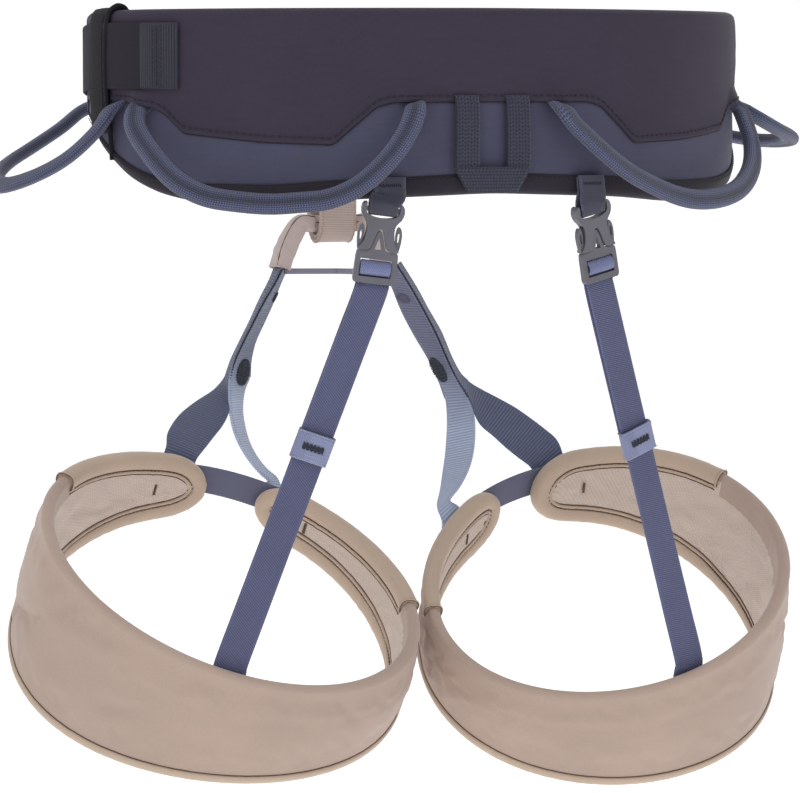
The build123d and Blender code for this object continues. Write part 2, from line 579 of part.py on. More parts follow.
# ---------------------------------------------------------------- gear loops and haul loop
GEAR = {
    "rear_left": [(149.2, 41.4, -4.0), (151.6, 48.6, -11.6), (147.1, 59.1, -23.0), (140.0, 70.7, -33.9), (129.2, 80.9, -40.8), (116.5, 89.2, -44.4), (103.8, 95.5, -45.6),
                  (91.5, 101.0, -44.8), (79.1, 105.0, -41.9), (65.5, 108.6, -35.4), (53.0, 110.2, -24.0), (44.7, 109.6, -13.0), (40.4, 108.4, -4.0)],
    "rear_right": [(-148.0, 43.0, -4.0), (-150.2, 47.6, -11.0), (-153.6, 51.5, -23.3), (-147.3, 62.9, -35.0), (-132.2, 79.1, -45.2), (-110.6, 93.0, -49.2), (-91.2, 102.0, -46.4),
                   (-68.7, 108.4, -35.6), (-55.0, 111.0, -26.5), (-44.0, 111.0, -17.5), (-35.5, 109.6, -9.4), (-31.5, 108.6, -4.0)],
    "front_left": [(157.6, 27.0, -4.0), (164.0, 27.0, -13.0), (175.5, 20.0, -25.0), (188.0, 8.0, -33.5), (198.0, -8.0, -38.0), (198.5, -24.0, -35.5), (189.0, -38.0, -29.0),
                   (174.0, -46.0, -21.0), (159.5, -50.5, -12.5), (149.0, -51.0, -4.5)],
    "front_right": [(-157.6, 27.0, -4.0), (-165.5, 27.5, -8.5), (-178.0, 20.5, -13.5), (-190.5, 8.0, -17.0), (-198.5, -9.0, -19.5), (-195.5, -25.5, -20.5), (-184.5, -38.5, -19.0),
                    (-170.5, -46.5, -15.0), (-158.0, -50.5, -9.5), (-149.0, -51.5, -4.5)],
}
for name, pts in GEAR.items():
    wd = []
    n = len(pts)
    for i, c in enumerate(pts):
        # the flat of the tube faces outward: width direction is across the loop's own plane
        a = unit(sub(list(pts[-1]), list(pts[0])))
        mid = [(pts[0][k] + pts[-1][k]) / 2 for k in range(3)]
        tan = unit(sub(list(pts[min(n - 1, i + 1)]), list(pts[max(0, i - 1)])))
        lp = unit(cross(a, sub(list(pts[n // 2]), mid)))   # normal of the loop's plane
        wd.append(unit(cross(lp, tan)))
    save("gear_loop_" + name, tube([list(p) for p in pts], wd, GEAR_W, GEAR_T))

HX = 2.0
haul_sk = poly([(-17.9, 1.2), (-6.4, 1.2), (-6.4, -28.0), (6.4, -28.0), (6.4, 1.2), (17.9, 1.2), (17.9, -31.0), (13.0, -39.5), (-13.0, -39.5), (-17.9, -31.0)])
haul_plane = Plane(origin=(HX, 104.4, 0.0), x_dir=(1, 0, 0), z_dir=(0, -1, 0))
haul = extrude(haul_plane * haul_sk, amount=-2.0)
save("haul_loop", haul)
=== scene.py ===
import bpy, bmesh, math
import numpy as np
from mathutils import Matrix, Vector, noise


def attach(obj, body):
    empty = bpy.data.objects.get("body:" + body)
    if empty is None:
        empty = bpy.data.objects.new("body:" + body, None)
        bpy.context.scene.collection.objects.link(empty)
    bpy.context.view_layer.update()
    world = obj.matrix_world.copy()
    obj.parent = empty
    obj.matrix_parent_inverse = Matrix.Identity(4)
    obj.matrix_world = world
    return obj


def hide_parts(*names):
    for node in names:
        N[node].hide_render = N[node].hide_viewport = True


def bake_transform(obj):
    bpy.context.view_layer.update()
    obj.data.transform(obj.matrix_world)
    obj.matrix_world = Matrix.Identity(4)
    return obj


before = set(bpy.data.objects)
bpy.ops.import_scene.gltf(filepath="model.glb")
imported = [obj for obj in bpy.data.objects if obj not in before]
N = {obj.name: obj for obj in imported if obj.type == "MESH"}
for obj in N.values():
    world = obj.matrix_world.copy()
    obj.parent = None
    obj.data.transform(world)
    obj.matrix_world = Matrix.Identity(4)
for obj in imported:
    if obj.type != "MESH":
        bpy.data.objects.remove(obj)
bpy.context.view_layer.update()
MM = 0.001

# ------------------------------------------------------------------ small maths
def A(p):
    return np.array(p, float)


def unit(v):
    v = A(v)
    n = np.linalg.norm(v)
    return v / n if n > 1e-12 else v


def interp(x, xs, ys):
    return float(np.interp(x, xs, ys))


def soft(f, d, w):
    return sum(f(d + w * k / 3.0) for k in range(-3, 4)) / 7.0


def nz(x, y, z, s=1.0):
    return noise.noise(Vector((x * s, y * s, z * s)))


def catmull(P, sub):
    P = A(P)
    n = len(P)
    out = []
    ext = np.vstack([2 * P[0] - P[1], P, 2 * P[-1] - P[-2]])
    for i in range(n - 1):
        p0, p1, p2, p3 = ext[i:i + 4]
        for k in range(sub):
            t = k / sub
            out.append(0.5 * ((2 * p1) + (-p0 + p2) * t + (2 * p0 - 5 * p1 + 4 * p2 - p3) * t * t + (-p0 + 3 * p1 - 3 * p2 + p3) * t ** 3))
    out.append(P[-1])
    return A(out)


def resample(P, n=None, step=None):
    P = A(P)
    L = np.concatenate([[0], np.cumsum(np.linalg.norm(np.diff(P, axis=0), axis=1))])
    if n is None:
        n = max(2, int(round(L[-1] / step)) + 1)
    s = np.linspace(0, L[-1], n)
    return np.stack([np.interp(s, L, P[:, k]) for k in range(P.shape[1])], 1)


def smooth_rows(P, it=2):
    P = A(P).copy()
    for _ in range(it):
        P[1:-1] = 0.25 * P[:-2] + 0.5 * P[1:-1] + 0.25 * P[2:]
    return P


# ------------------------------------------------------------------ materials
def lin(c):
    return tuple(((v / 255 + 0.055) / 1.055) ** 2.4 if v > 10 else v / 255 / 12.92 for v in c) + (1.0,)


class Graph:
    def __init__(s, name):
        s.m = bpy.data.materials.new(name)
        s.m.use_nodes = True
        s.t = s.m.node_tree
        s.t.nodes.clear()
        s.out = s.t.nodes.new("ShaderNodeOutputMaterial")
        s.b = s.t.nodes.new("ShaderNodeBsdfPrincipled")
        s.t.links.new(s.b.outputs[0], s.out.inputs[0])

    def new(s, kind, **kw):
        n = s.t.nodes.new(kind)
        for k, v in kw.items():
            setattr(n, k, v)
        return n

    def put(s, sock, v):
        if hasattr(v, "is_output"):
            s.t.links.new(v, sock)
        else:
            sock.default_value = v

    def math(s, op, a, b=None, c=None, clamp=False):
        n = s.new("ShaderNodeMath", operation=op)
        n.use_clamp = clamp
        s.put(n.inputs[0], a)
        if b is not None:
            s.put(n.inputs[1], b)
        if c is not None:
            s.put(n.inputs[2], c)
        return n.outputs[0]

    def mix(s, f, a, b):
        n = s.new("ShaderNodeMix", data_type="RGBA")
        s.put(n.inputs[0], f)
        s.put(n.inputs[6], a)
        s.put(n.inputs[7], b)
        return n.outputs[2]

    def noise(s, vec, scale, detail=3.0, rough=0.5):
        n = s.new("ShaderNodeTexNoise")
        s.put(n.inputs["Vector"], vec)
        n.inputs["Scale"].default_value = scale
        n.inputs["Detail"].default_value = detail
        n.inputs["Roughness"].default_value = rough
        return n.outputs[0]

    def coords(s, uv=True):
        """u along and v across in millimetres, and the object vector in metres."""
        tc = s.new("ShaderNodeTexCoord")
        sp = s.new("ShaderNodeSeparateXYZ")
        s.t.links.new(tc.outputs["UV" if uv else "Object"], sp.inputs[0])
        u = s.math("MULTIPLY", sp.outputs[0], 1000.0)
        v = s.math("MULTIPLY", sp.outputs[1 if uv else 2], 1000.0)
        return u, v, tc.outputs["Object"], tc.outputs["UV"]

    def stretch(s, vec, sc):
        n = s.new("ShaderNodeMapping")
        s.put(n.inputs["Vector"], vec)
        n.inputs["Scale"].default_value = sc
        return n.outputs[0]

    def bump(s, h, dist, strength=1.0, normal=None):
        n = s.new("ShaderNodeBump")
        n.inputs["Strength"].default_value = strength
        n.inputs["Distance"].default_value = dist
        s.put(n.inputs["Height"], h)
        if normal is not None:
            s.put(n.inputs["Normal"], normal)
        return n.outputs[0]

    def sin(s, x, period, phase=0.0):
        return s.math("SINE", s.math("MULTIPLY_ADD", x, 2 * math.pi / period, phase))

    def done(s, base, rough=0.8, normal=None, sheen=0.0, spec=0.3, metal=0.0, coat=0.0, sheen_tint=(1, 1, 1, 1)):
        s.put(s.b.inputs["Base Color"], base)
        s.put(s.b.inputs["Roughness"], rough)
        s.b.inputs["Metallic"].default_value = metal
        s.b.inputs["Specular IOR Level"].default_value = spec
        s.b.inputs["Sheen Weight"].default_value = sheen
        s.b.inputs["Sheen Roughness"].default_value = 0.5
        s.b.inputs["Sheen Tint"].default_value = sheen_tint
        s.b.inputs["Coat Weight"].default_value = coat
        if normal is not None:
            s.put(s.b.inputs["Normal"], normal)
        return s.m


def scale_rgb(c, k):
    return tuple(max(0, min(255, v * k)) for v in c)


def cloth_mat(name, rgb, period=0.75, kind="plain", depth=0.00006, contrast=0.10, var=0.06, rough=0.82, sheen=0.15, streak=0.0, spec=0.25, strength=0.6):
    """Woven fabric: thread pattern in colour and bump, soft large variation, fine grain."""
    g = Graph(name)
    u, v, ob, uv = g.coords()
    if kind == "plain":
        w = g.math("MULTIPLY", g.sin(u, period), g.sin(v, period))
    elif kind == "twill":
        w = g.math("ADD", g.math("MULTIPLY", g.sin(g.math("ADD", u, v), period), 0.7), g.math("MULTIPLY", g.sin(g.math("SUBTRACT", u, v), period * 0.5), 0.3))
    elif kind == "dots":
        a = g.sin(g.math("ADD", u, g.math("MULTIPLY", v, 0.5)), period)
        b = g.sin(v, period * 0.95)
        w = g.math("MULTIPLY", g.math("MAXIMUM", a, -0.2), g.math("MAXIMUM", b, -0.2))
    else:
        w = g.sin(u, period)
    h = g.math("MULTIPLY_ADD", w, 0.5, 0.5)
    big = g.noise(ob, 22.0, 3.0)
    fine = g.noise(ob, 1400.0, 2.0, 0.6)
    f = g.math("MULTIPLY_ADD", h, contrast * 0.5, 0.5 - contrast * 0.25)
    f = g.math("ADD", f, g.math("MULTIPLY_ADD", big, var * 2.0, -var))
    f = g.math("ADD", f, g.math("MULTIPLY_ADD", fine, 0.16, -0.08))
    if streak:
        st = g.noise(g.stretch(uv, (0.12, 1.0, 1.0)), 520.0, 3.0, 0.6)
        f = g.math("ADD", f, g.math("MULTIPLY_ADD", st, streak * 2.0, -streak))
    base = g.mix(g.math("MULTIPLY", f, 1.0, clamp=True), lin(scale_rgb(rgb, 0.68)), lin(scale_rgb(rgb, 1.30)))
    hh = g.math("ADD", h, g.math("MULTIPLY", fine, 0.5))
    return g.done(base, rough, g.bump(hh, depth, strength), sheen=sheen, spec=spec)


def tape_mat(name, rgb, rib=1.5, w_mm=20.0, depth=0.00025, edge=1.25, dark=0.6, kind="rib", rough=0.72, sheen=0.2, contrast=0.8, top=None, shade_z_range=None):
    """Woven tape or webbing: ribs across the width, threads along it and lighter selvedges."""
    g = Graph(name)
    u, v, ob, uv = g.coords()
    if kind == "rib":
        r = g.math("POWER", g.math("ABSOLUTE", g.sin(u, rib * 2)), 0.6)
    elif kind == "vrib":
        r = g.math("POWER", g.math("ABSOLUTE", g.sin(v, rib * 2)), 0.6)
    elif kind == "twill":
        r = g.math("MULTIPLY_ADD", g.sin(g.math("ADD", u, g.math("MULTIPLY", v, 0.7)), rib), 0.5, 0.5)
    else:
        r = g.math("MULTIPLY_ADD", g.math("MULTIPLY", g.sin(u, rib), g.sin(v, rib)), 0.5, 0.5)
    th = g.math("MULTIPLY_ADD", g.sin(v, 0.8), 0.5, 0.5)
    big = g.noise(ob, 60.0, 2.0)
    fine = g.noise(ob, 1800.0, 2.0, 0.6)
    ed = g.math("MULTIPLY", g.math("SUBTRACT", g.math("ABSOLUTE", v), w_mm / 2 - 1.4), 1.6, clamp=True)
    f = g.math("MULTIPLY_ADD", r, contrast * 0.55, 0.5 - contrast * 0.3)
    f = g.math("ADD", f, g.math("MULTIPLY_ADD", th, 0.12, -0.06))
    f = g.math("ADD", f, g.math("MULTIPLY_ADD", big, 0.16, -0.08))
    f = g.math("ADD", f, g.math("MULTIPLY_ADD", fine, 0.22, -0.11))
    f = g.math("ADD", f, g.math("MULTIPLY", g.math("MULTIPLY", ed, g.math("MULTIPLY_ADD", g.sin(u, 1.7), 0.3, 0.7)), (edge - 1.0)))
    base = g.mix(g.math("MULTIPLY", f, 1.0, clamp=True), lin(scale_rgb(rgb, dark)), lin(scale_rgb(rgb, 1.35)))
    # painted shade: when top is given, the colour blends from the base colour below the lower height to the darker top
    # colour above the upper height, so the upper part of the tape is painted darker
    if top:
        sp = g.new("ShaderNodeSeparateXYZ")
        g.t.links.new(ob, sp.inputs[0])
        k = 1.0 / (shade_z_range[0] - shade_z_range[1])
        up = g.math("MULTIPLY_ADD", sp.outputs[2], k, -shade_z_range[1] * k, clamp=True)
        base = g.mix(up, base, g.mix(g.math("MULTIPLY", f, 1.0, clamp=True), lin(scale_rgb(top, dark)), lin(scale_rgb(top, 1.35))))
    hh = g.math("ADD", g.math("MULTIPLY_ADD", th, 0.25, 0.0), g.math("ADD", r, g.math("MULTIPLY", fine, 0.3)))
    return g.done(base, rough, g.bump(hh, depth, 0.7), sheen=sheen, spec=0.3)


def braid_mat(name, rgb, row=1.05, stitch=1.7, depth=0.00035, dark=0.42, light=1.55, rough=0.7, ridge=False):
    """Tubular braid: rows of small slanted stitches that run along the piece."""
    g = Graph(name)
    u, v, ob, uv = g.coords()
    rv = g.math("DIVIDE", v, row)
    fl = g.math("FLOOR", rv)
    fr = g.math("SUBTRACT", rv, fl)
    par = g.math("MODULO", g.math("ABSOLUTE", fl), 2.0)
    sgn = g.math("MULTIPLY_ADD", par, 2.0, -1.0)
    sl = g.math("MULTIPLY", g.math("MULTIPLY", fr, sgn), 0.55)
    st = g.math("ABSOLUTE", g.math("SINE", g.math("MULTIPLY", g.math("ADD", g.math("DIVIDE", u, stitch), g.math("ADD", sl, g.math("MULTIPLY", par, 0.5))), math.pi)))
    rowh = g.math("SINE", g.math("MULTIPLY", fr, math.pi))
    h = g.math("MULTIPLY", g.math("POWER", st, 0.7), g.math("POWER", rowh, 0.6))
    fine = g.noise(ob, 1800.0, 2.0, 0.6)
    f = g.math("ADD", g.math("MULTIPLY", h, 0.85), g.math("MULTIPLY_ADD", fine, 0.2, -0.10))
    if ridge:
        # painted highlights and shade: the colour is scaled by bands round the braid's perimeter, lighter along the
        # ridges and darker between them
        ridge_highlight = g.math("POWER", g.math("ABSOLUTE", g.sin(v, 14.4, 0.8)), 1.6)
        f = g.math("MULTIPLY", f, g.math("MULTIPLY_ADD", ridge_highlight, 0.75, 0.45))
    base = g.mix(g.math("MULTIPLY", f, 1.0, clamp=True), lin(scale_rgb(rgb, dark)), lin(scale_rgb(rgb, light)))
    return g.done(base, rough, g.bump(h, depth, 0.85), sheen=0.2, spec=0.35)


def plastic_mat(name, rgb, rough=0.42, scale=900.0):
    g = Graph(name)
    u, v, ob, uv = g.coords(False)
    n1 = g.noise(ob, scale, 2.0)
    n2 = g.noise(ob, 60.0, 2.0)
    base = g.mix(g.math("ADD", g.math("MULTIPLY", n1, 0.3), g.math("MULTIPLY", n2, 0.7)), lin(scale_rgb(rgb, 0.90)), lin(scale_rgb(rgb, 1.10)))
    r = g.math("MULTIPLY_ADD", n1, 0.16, rough - 0.08)
    return g.done(base, r, g.bump(n1, 0.00003, 0.5), spec=0.45)


def metal_mat(name, rgb, rough=0.34):
    g = Graph(name)
    u, v, ob, uv = g.coords(False)
    n1 = g.noise(g.stretch(ob, (1.0, 1.0, 9.0)), 350.0, 3.0)
    base = g.mix(n1, lin(scale_rgb(rgb, 0.92)), lin(scale_rgb(rgb, 1.06)))
    r = g.math("MULTIPLY_ADD", n1, 0.14, rough - 0.07)
    return g.done(base, r, g.bump(n1, 0.00002, 0.5), metal=1.0, spec=0.5)


def thread_mat(name, rgb):
    g = Graph(name)
    u, v, ob, uv = g.coords(False)
    n1 = g.noise(ob, 2500.0, 2.0)
    base = g.mix(n1, lin(scale_rgb(rgb, 0.75)), lin(scale_rgb(rgb, 1.25)))
    return g.done(base, 0.75, g.bump(n1, 0.00004, 0.6), spec=0.3, sheen=0.1)


M = dict(
    aub=cloth_mat("Belt outer cloth", (53, 46, 62), 0.8, "plain", contrast=0.34, var=0.10, streak=0.12, rough=0.7, sheen=0.06, depth=0.0001),
    blue=cloth_mat("Belt accent cloth", (69, 69, 91), 0.8, "plain", contrast=0.36, var=0.14, streak=0.08, rough=0.66, sheen=0.10, depth=0.0001),
    band=cloth_mat("Belt edge cloth", (37, 32, 42), 0.7, "plain", contrast=0.14, var=0.06, rough=0.78),
    belt_in=cloth_mat("Belt spacer mesh", (84, 82, 94), 2.1, "dots", depth=0.0004, contrast=0.8, var=0.05, rough=0.9, strength=0.9),
    keeper=tape_mat("Keeper elastic", (28, 26, 32), 0.9, 60.0, 0.00012, 1.0, 0.7, "rib", contrast=0.3, sheen=0.02, rough=0.9),
    tail=tape_mat("Strap webbing", (35, 33, 41), 1.1, 30.0, 0.00015, 1.1, 0.65, "plain", contrast=0.35, sheen=0.02, rough=0.85),
    tail_rib=tape_mat("Strap folded end", (44, 44, 54), 1.25, 30.0, 0.0005, 1.0, 0.3, "rib", contrast=1.6, sheen=0.05),
    anchor=tape_mat("Anchor webbing", (44, 43, 52), 1.3, 31.0, 0.0002, 1.1, 0.6, "twill", contrast=0.5),
    sleeve=cloth_mat("Sleeve cloth", (188, 172, 168), 0.9, "twill", contrast=0.12, var=0.10, rough=0.75, sheen=0.2),
    belay=tape_mat("Belay webbing", (162, 146, 140), 0.8, 19.0, 0.0003, 1.18, 0.66, "rib", contrast=0.9),
    # ridge=True paints highlight bands along the gear loop braid
    gear=braid_mat("Gear loop braid", (54, 57, 76), 0.98, 1.15, dark=0.24, light=2.0, ridge=True),
    haul=braid_mat("Haul loop braid", (43, 45, 61), 1.45, 1.7, dark=0.5, light=1.5),
    tab=tape_mat("Tab webbing", (65, 65, 80), 0.7, 13.4, 0.0002, 1.3, 0.6, "plain", contrast=0.5),
    riser=tape_mat("Riser elastic", (82, 85, 115), 1.15, 15.5, 0.0002, 1.2, 0.62, "twill", contrast=0.95),
    riser_lt=tape_mat("Riser elastic stretched", (108, 114, 150), 1.1, 14.5, 0.0003, 1.0, 0.72, "plain", contrast=0.8),
    keep_lt=tape_mat("Riser keeper webbing", (121, 126, 156), 0.95, 18.0, 0.0003, 1.15, 0.72, "plain", contrast=0.7),
    leg=cloth_mat("Leg outer cloth", (172, 151, 139), 0.8, "plain", contrast=0.20, var=0.10, rough=0.66, sheen=0.25, spec=0.3),
    leg_in=cloth_mat("Leg mesh lining", (205, 182, 172), 1.7, "dots", depth=0.0004, contrast=0.85, var=0.05, rough=0.9, sheen=0.2, strength=0.8),
    bind=cloth_mat("Leg binding", (184, 163, 145), 0.75, "plain", contrast=0.14, var=0.10, rough=0.6, sheen=0.25, spec=0.35),
    web_dark=tape_mat("Webbing dark ribbed", (82, 88, 112), 1.55, 21.0, 0.0006, 1.1, 0.42, "rib", contrast=1.2),
    # web_light and web_right carry painted shade: their upper parts are painted in the darker top colour
    web_light=tape_mat("Webbing light ribbed", (156, 166, 188), 1.3, 21.0, 0.0004, 1.15, 0.72, "rib", contrast=0.8, top=(96, 103, 124), shade_z_range=(-0.125, -0.150)),
    web_right=tape_mat("Webbing light ribbed right", (155, 165, 189), 1.5, 21.0, 0.0004, 1.15, 0.66, "rib", contrast=0.9, top=(90, 93, 116), shade_z_range=(-0.135, -0.168)),
    web_up=tape_mat("Webbing upper", (78, 84, 105), 1.0, 21.0, 0.0003, 1.2, 0.62, "rib", contrast=0.8),
    bridge=tape_mat("Bridge elastic", (90, 92, 113), 0.8, 14.0, 0.00012, 1.05, 0.82, "plain", contrast=0.3),
    spacer=tape_mat("Spacer elastic", (124, 122, 137), 0.8, 2.8, 0.0001, 1.0, 0.85, "plain", contrast=0.3),
    plastic=plastic_mat("Buckle acetal", (98, 97, 106)),
    metal=metal_mat("Anodised alloy", (170, 172, 178)),
    th_dark=thread_mat("Thread dark", (38, 34, 44)),
    th_brown=thread_mat("Thread brown", (92, 72, 62)),
    th_sand=thread_mat("Thread sand", (176, 154, 136)),
    th_blue=thread_mat("Thread slate", (52, 56, 68)),
    th_grey=thread_mat("Thread grey", (96, 96, 106)),
    th_pale=thread_mat("Thread pale", (150, 158, 180)),
    th_lilac=thread_mat("Thread lilac", (104, 98, 124)),
    gap=thread_mat("Seam shadow", (92, 70, 60)),
    gapd=thread_mat("Seam shadow dark", (30, 27, 34)),
)


# ------------------------------------------------------------------ mesh helpers
def make(name, verts, faces, mat, uvs=None, mats=None, smooth=True):
    """verts in mm; uvs is one (u, v) in mm per face corner, in face order."""
    me = bpy.data.meshes.new(name)
    me.from_pydata([tuple(v) for v in (A(verts) * MM)], [], faces)
    me.update()
    if uvs is not None:
        lay = me.uv_layers.new(name="UVMap")
        lay.data.foreach_set("uv", (A(uvs) * MM).astype(np.float32).ravel())
    ms = mat if isinstance(mat, (list, tuple)) else [mat]
    for m in ms:
        me.materials.append(m)
    if mats is not None:
        me.polygons.foreach_set("material_index", np.array(mats, np.int32))
    ob = bpy.data.objects.new(name, me)
    bpy.context.scene.collection.objects.link(ob)
    bm = bmesh.new()
    bm.from_mesh(me)
    bmesh.ops.recalc_face_normals(bm, faces=bm.faces)
    bm.to_mesh(me)
    bm.free()
    for p in me.polygons:
        p.use_smooth = smooth
    return ob


def grid(name, P, mat, wrap_u=False, wrap_v=False, caps=True, mat_of=None, U=None, V=None):
    P = A(P)
    nu, nv = P.shape[:2]
    iu, jv = (nu if wrap_u else nu - 1), (nv if wrap_v else nv - 1)
    Pe = P
    if wrap_u:
        Pe = np.concatenate([Pe, Pe[:1]], 0)
    if wrap_v:
        Pe = np.concatenate([Pe, Pe[:, :1]], 1)
    if U is None:
        du = np.linalg.norm(np.diff(Pe, axis=0), axis=2).mean(1)
        U = np.repeat(np.concatenate([[0], np.cumsum(du)])[:, None], Pe.shape[1], 1)
    if V is None:
        dv = np.linalg.norm(np.diff(Pe, axis=1), axis=2)
        V = np.concatenate([np.zeros((Pe.shape[0], 1)), np.cumsum(dv, 1)], 1)
    faces, uvs, mi = [], [], []
    for i in range(iu):
        for j in range(jv):
            a, b = i * nv + j, ((i + 1) % nu) * nv + j
            c, d = ((i + 1) % nu) * nv + (j + 1) % nv, i * nv + (j + 1) % nv
            faces.append((a, b, c, d))
            uvs += [(U[i, j], V[i, j]), (U[i + 1, j], V[i + 1, j]), (U[i + 1, j + 1], V[i + 1, j + 1]), (U[i, j + 1], V[i, j + 1])]
            mi.append(mat_of(i, j) if mat_of else 0)
    if caps and wrap_v and not wrap_u:
        for i in (0, nu - 1):
            faces.append(tuple(i * nv + j for j in range(nv)))
            uvs += [(U[i, j], V[i, j]) for j in range(nv)]
            mi.append(mat_of(min(i, iu - 1), 0) if mat_of else 0)
    return make(name, P.reshape(-1, 3), faces, mat, uvs, mi)


def join(name, obs):
    obs = [o for o in obs if o]
    bpy.ops.object.select_all(action="DESELECT")
    for o in obs:
        o.select_set(True)
    bpy.context.view_layer.objects.active = obs[0]
    bpy.ops.object.join()
    obs[0].name = name
    return obs[0]


def frames(C, W):
    C = A(C)
    T = np.gradient(C, axis=0)
    T /= np.linalg.norm(T, axis=1)[:, None]
    W = A(W)
    W = W - T * (W * T).sum(1)[:, None]
    W /= np.linalg.norm(W, axis=1)[:, None]
    return T, W, np.cross(T, W)


def tape_profile(w, t, n=7, crown=0.0):
    h = t / 2
    pts = []
    xs = np.linspace(-(w / 2 - h), w / 2 - h, n)
    for x in xs:
        pts.append((x, h + crown * (1 - (2 * x / w) ** 2), x))
    for a in (60, 0, -60):
        r = math.radians(a)
        pts.append((w / 2 - h + h * math.cos(r), h * math.sin(r), w / 2))
    for x in xs[::-1]:
        pts.append((x, -h - crown * (1 - (2 * x / w) ** 2), x))
    for a in (240, 180, 120):
        r = math.radians(a)
        pts.append((-(w / 2 - h) + h * math.cos(r), h * math.sin(r), -w / 2))
    return pts


def sweep(name, C, W, w, t, mat, sub=8, shift=0.0, crown=0.0, closed=False, smooth=0, n=7, pre=False):
    """Flat tape along points C with width directions W. w and t may be lists."""
    k = len(C)
    ws = list(w) if isinstance(w, (list, tuple, np.ndarray)) else [w] * k
    ts = list(t) if isinstance(t, (list, tuple, np.ndarray)) else [t] * k
    if pre:
        D = np.hstack([A(C), A(W), A(ws)[:, None], A(ts)[:, None]])
    else:
        D = catmull(np.hstack([A(C), A(W), A(ws)[:, None], A(ts)[:, None]]), sub)
    if smooth:
        D = smooth_rows(D, smooth)
    T, Wd, Nn = frames(D[:, :3], D[:, 3:6])
    if closed:
        T[0] = T[-1] = unit(T[0] + T[-1])
        for arr in (Wd, Nn):
            arr[0] = arr[-1] = unit(arr[0] + arr[-1])
    L = np.concatenate([[0], np.cumsum(np.linalg.norm(np.diff(D[:, :3], axis=0), axis=1))])
    P, V = [], []
    for i in range(len(D)):
        pr = tape_profile(D[i, 6], D[i, 7], n, crown)
        P.append([D[i, :3] + Wd[i] * x + Nn[i] * (y + shift) for x, y, _ in pr])
        V.append([vv for _, _, vv in pr] + [pr[0][2]])
    P, V = A(P), A(V)
    U = np.repeat(L[:, None], V.shape[1], 1)
    if closed:
        P = P[:-1]
        return grid(name, P, mat, True, True, U=U, V=V)
    return grid(name, P, mat, False, True, U=U, V=V)


def stitch_line(name, pts, nrm, mat, pitch=3.1, length=2.3, rad=0.26, lift=0.05, jit=0.12, cross=None):
    """Row of separate stitches lying on a surface. cross gives stitches across the path."""
    D = resample(np.hstack([A(pts), A(nrm)]), step=pitch)
    L = len(D)
    V, F, UV = [], [], []
    T = np.gradient(D[:, :3], axis=0)
    for i in range(L):
        t, n = unit(T[i]), unit(D[i, 3:6])
        s = unit(np.cross(n, t))
        dirn = t if cross is None else unit(t * cross[0] + s * cross[1] * (1 if i % 2 else -1))
        sd = unit(np.cross(n, dirn))
        j = jit * nz(i * 1.7, 3.1, 0.0)
        c = D[i, :3] + n * lift + s * j
        base = len(V)
        prof = [(-0.5, 0.25, -0.55), (-0.32, 0.9, 0.1), (0.0, 1.0, 0.25), (0.32, 0.9, 0.1), (0.5, 0.25, -0.55)]
        for x, r, up in prof:
            for a in range(6):
                th = a * math.pi / 3
                V.append(c + dirn * x * length + sd * rad * r * math.cos(th) + n * rad * (r * math.sin(th) + up))
                UV.append((x * length, a * 0.3))
        for q in range(4):
            for a in range(6):
                b = (a + 1) % 6
                F.append((base + q * 6 + a, base + q * 6 + b, base + q * 6 + 6 + b, base + q * 6 + 6 + a))
        F.append(tuple(base + a for a in range(6)))
        F.append(tuple(base + 24 + a for a in range(5, -1, -1)))
    uvs = [UV[i] for f in F for i in f]
    return make(name, V, F, mat, uvs)


def tube(name, C, r, mat, sub=1, ns=8, closed=False):
    C = A(C) if sub == 1 else catmull(C, sub)
    T = np.gradient(C, axis=0)
    T /= np.linalg.norm(T, axis=1)[:, None]
    ref = A([0.13, 0.21, 0.97])
    P = []
    w = unit(np.cross(T[0], ref))
    for i in range(len(C)):
        w = unit(w - T[i] * np.dot(w, T[i]))
        n = np.cross(T[i], w)
        rr = r[i] if hasattr(r, "__len__") else r
        P.append([C[i] + (w * math.cos(a) + n * math.sin(a)) * rr for a in np.linspace(0, 2 * math.pi, ns, endpoint=False)])
    return grid(name, P, mat, closed, True)


def puff(ob, free, pressure, cap, swell=0.02, frames_=20):
    """Fill a padded piece by cloth simulation; free(point in mm) is 0 where sewn down and 1 where free."""
    sc = bpy.context.scene
    me = ob.data
    n = len(me.vertices)
    co = np.empty(n * 3, np.float32)
    me.vertices.foreach_get("co", co)
    co = co.reshape(-1, 3).astype(float)
    vg = ob.vertex_groups.new(name="sewn")
    for i in range(n):
        w = 1.0 - free(i)
        if w > 0.001:
            vg.add([i], w, "REPLACE")
    m = ob.modifiers.new("fill", "CLOTH")
    c = m.settings
    c.quality = 5
    c.mass = 0.25
    c.tension_stiffness = 18.0
    c.compression_stiffness = 6.0
    c.shear_stiffness = 5.0
    c.bending_stiffness = 0.25
    c.tension_damping = 8.0
    c.compression_damping = 8.0
    c.shear_damping = 5.0
    c.bending_damping = 0.6
    c.air_damping = 3.0
    c.shrink_min = -swell
    c.use_pressure = True
    c.uniform_pressure_force = pressure
    c.vertex_group_mass = "sewn"
    c.pin_stiffness = 2.0
    c.effector_weights.gravity = 0.0
    m.collision_settings.use_collision = False
    m.collision_settings.use_self_collision = False
    m.point_cache.frame_start = 1
    m.point_cache.frame_end = frames_
    for f in range(1, frames_ + 1):
        sc.frame_set(f)
    ev = ob.evaluated_get(bpy.context.evaluated_depsgraph_get())
    out = np.empty(n * 3, np.float32)
    ev.data.vertices.foreach_get("co", out)
    out = out.reshape(-1, 3).astype(float)
    ob.modifiers.remove(m)
    ob.vertex_groups.clear()
    sc.frame_set(1)
    d = out - co
    L = np.linalg.norm(d, axis=1)
    print("PUFF", ob.name, n, "max %.2f mm mean %.2f mm" % (L.max() * 1000, L.mean() * 1000))
    k = np.minimum(1.0, cap / np.maximum(L, 1e-9))
    me.vertices.foreach_set("co", (co + d * k[:, None]).astype(np.float32).ravel())
    me.update()


def own(ob, body, reps=()):
    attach(ob, body)
    if reps:
        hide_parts(*reps)
    return ob


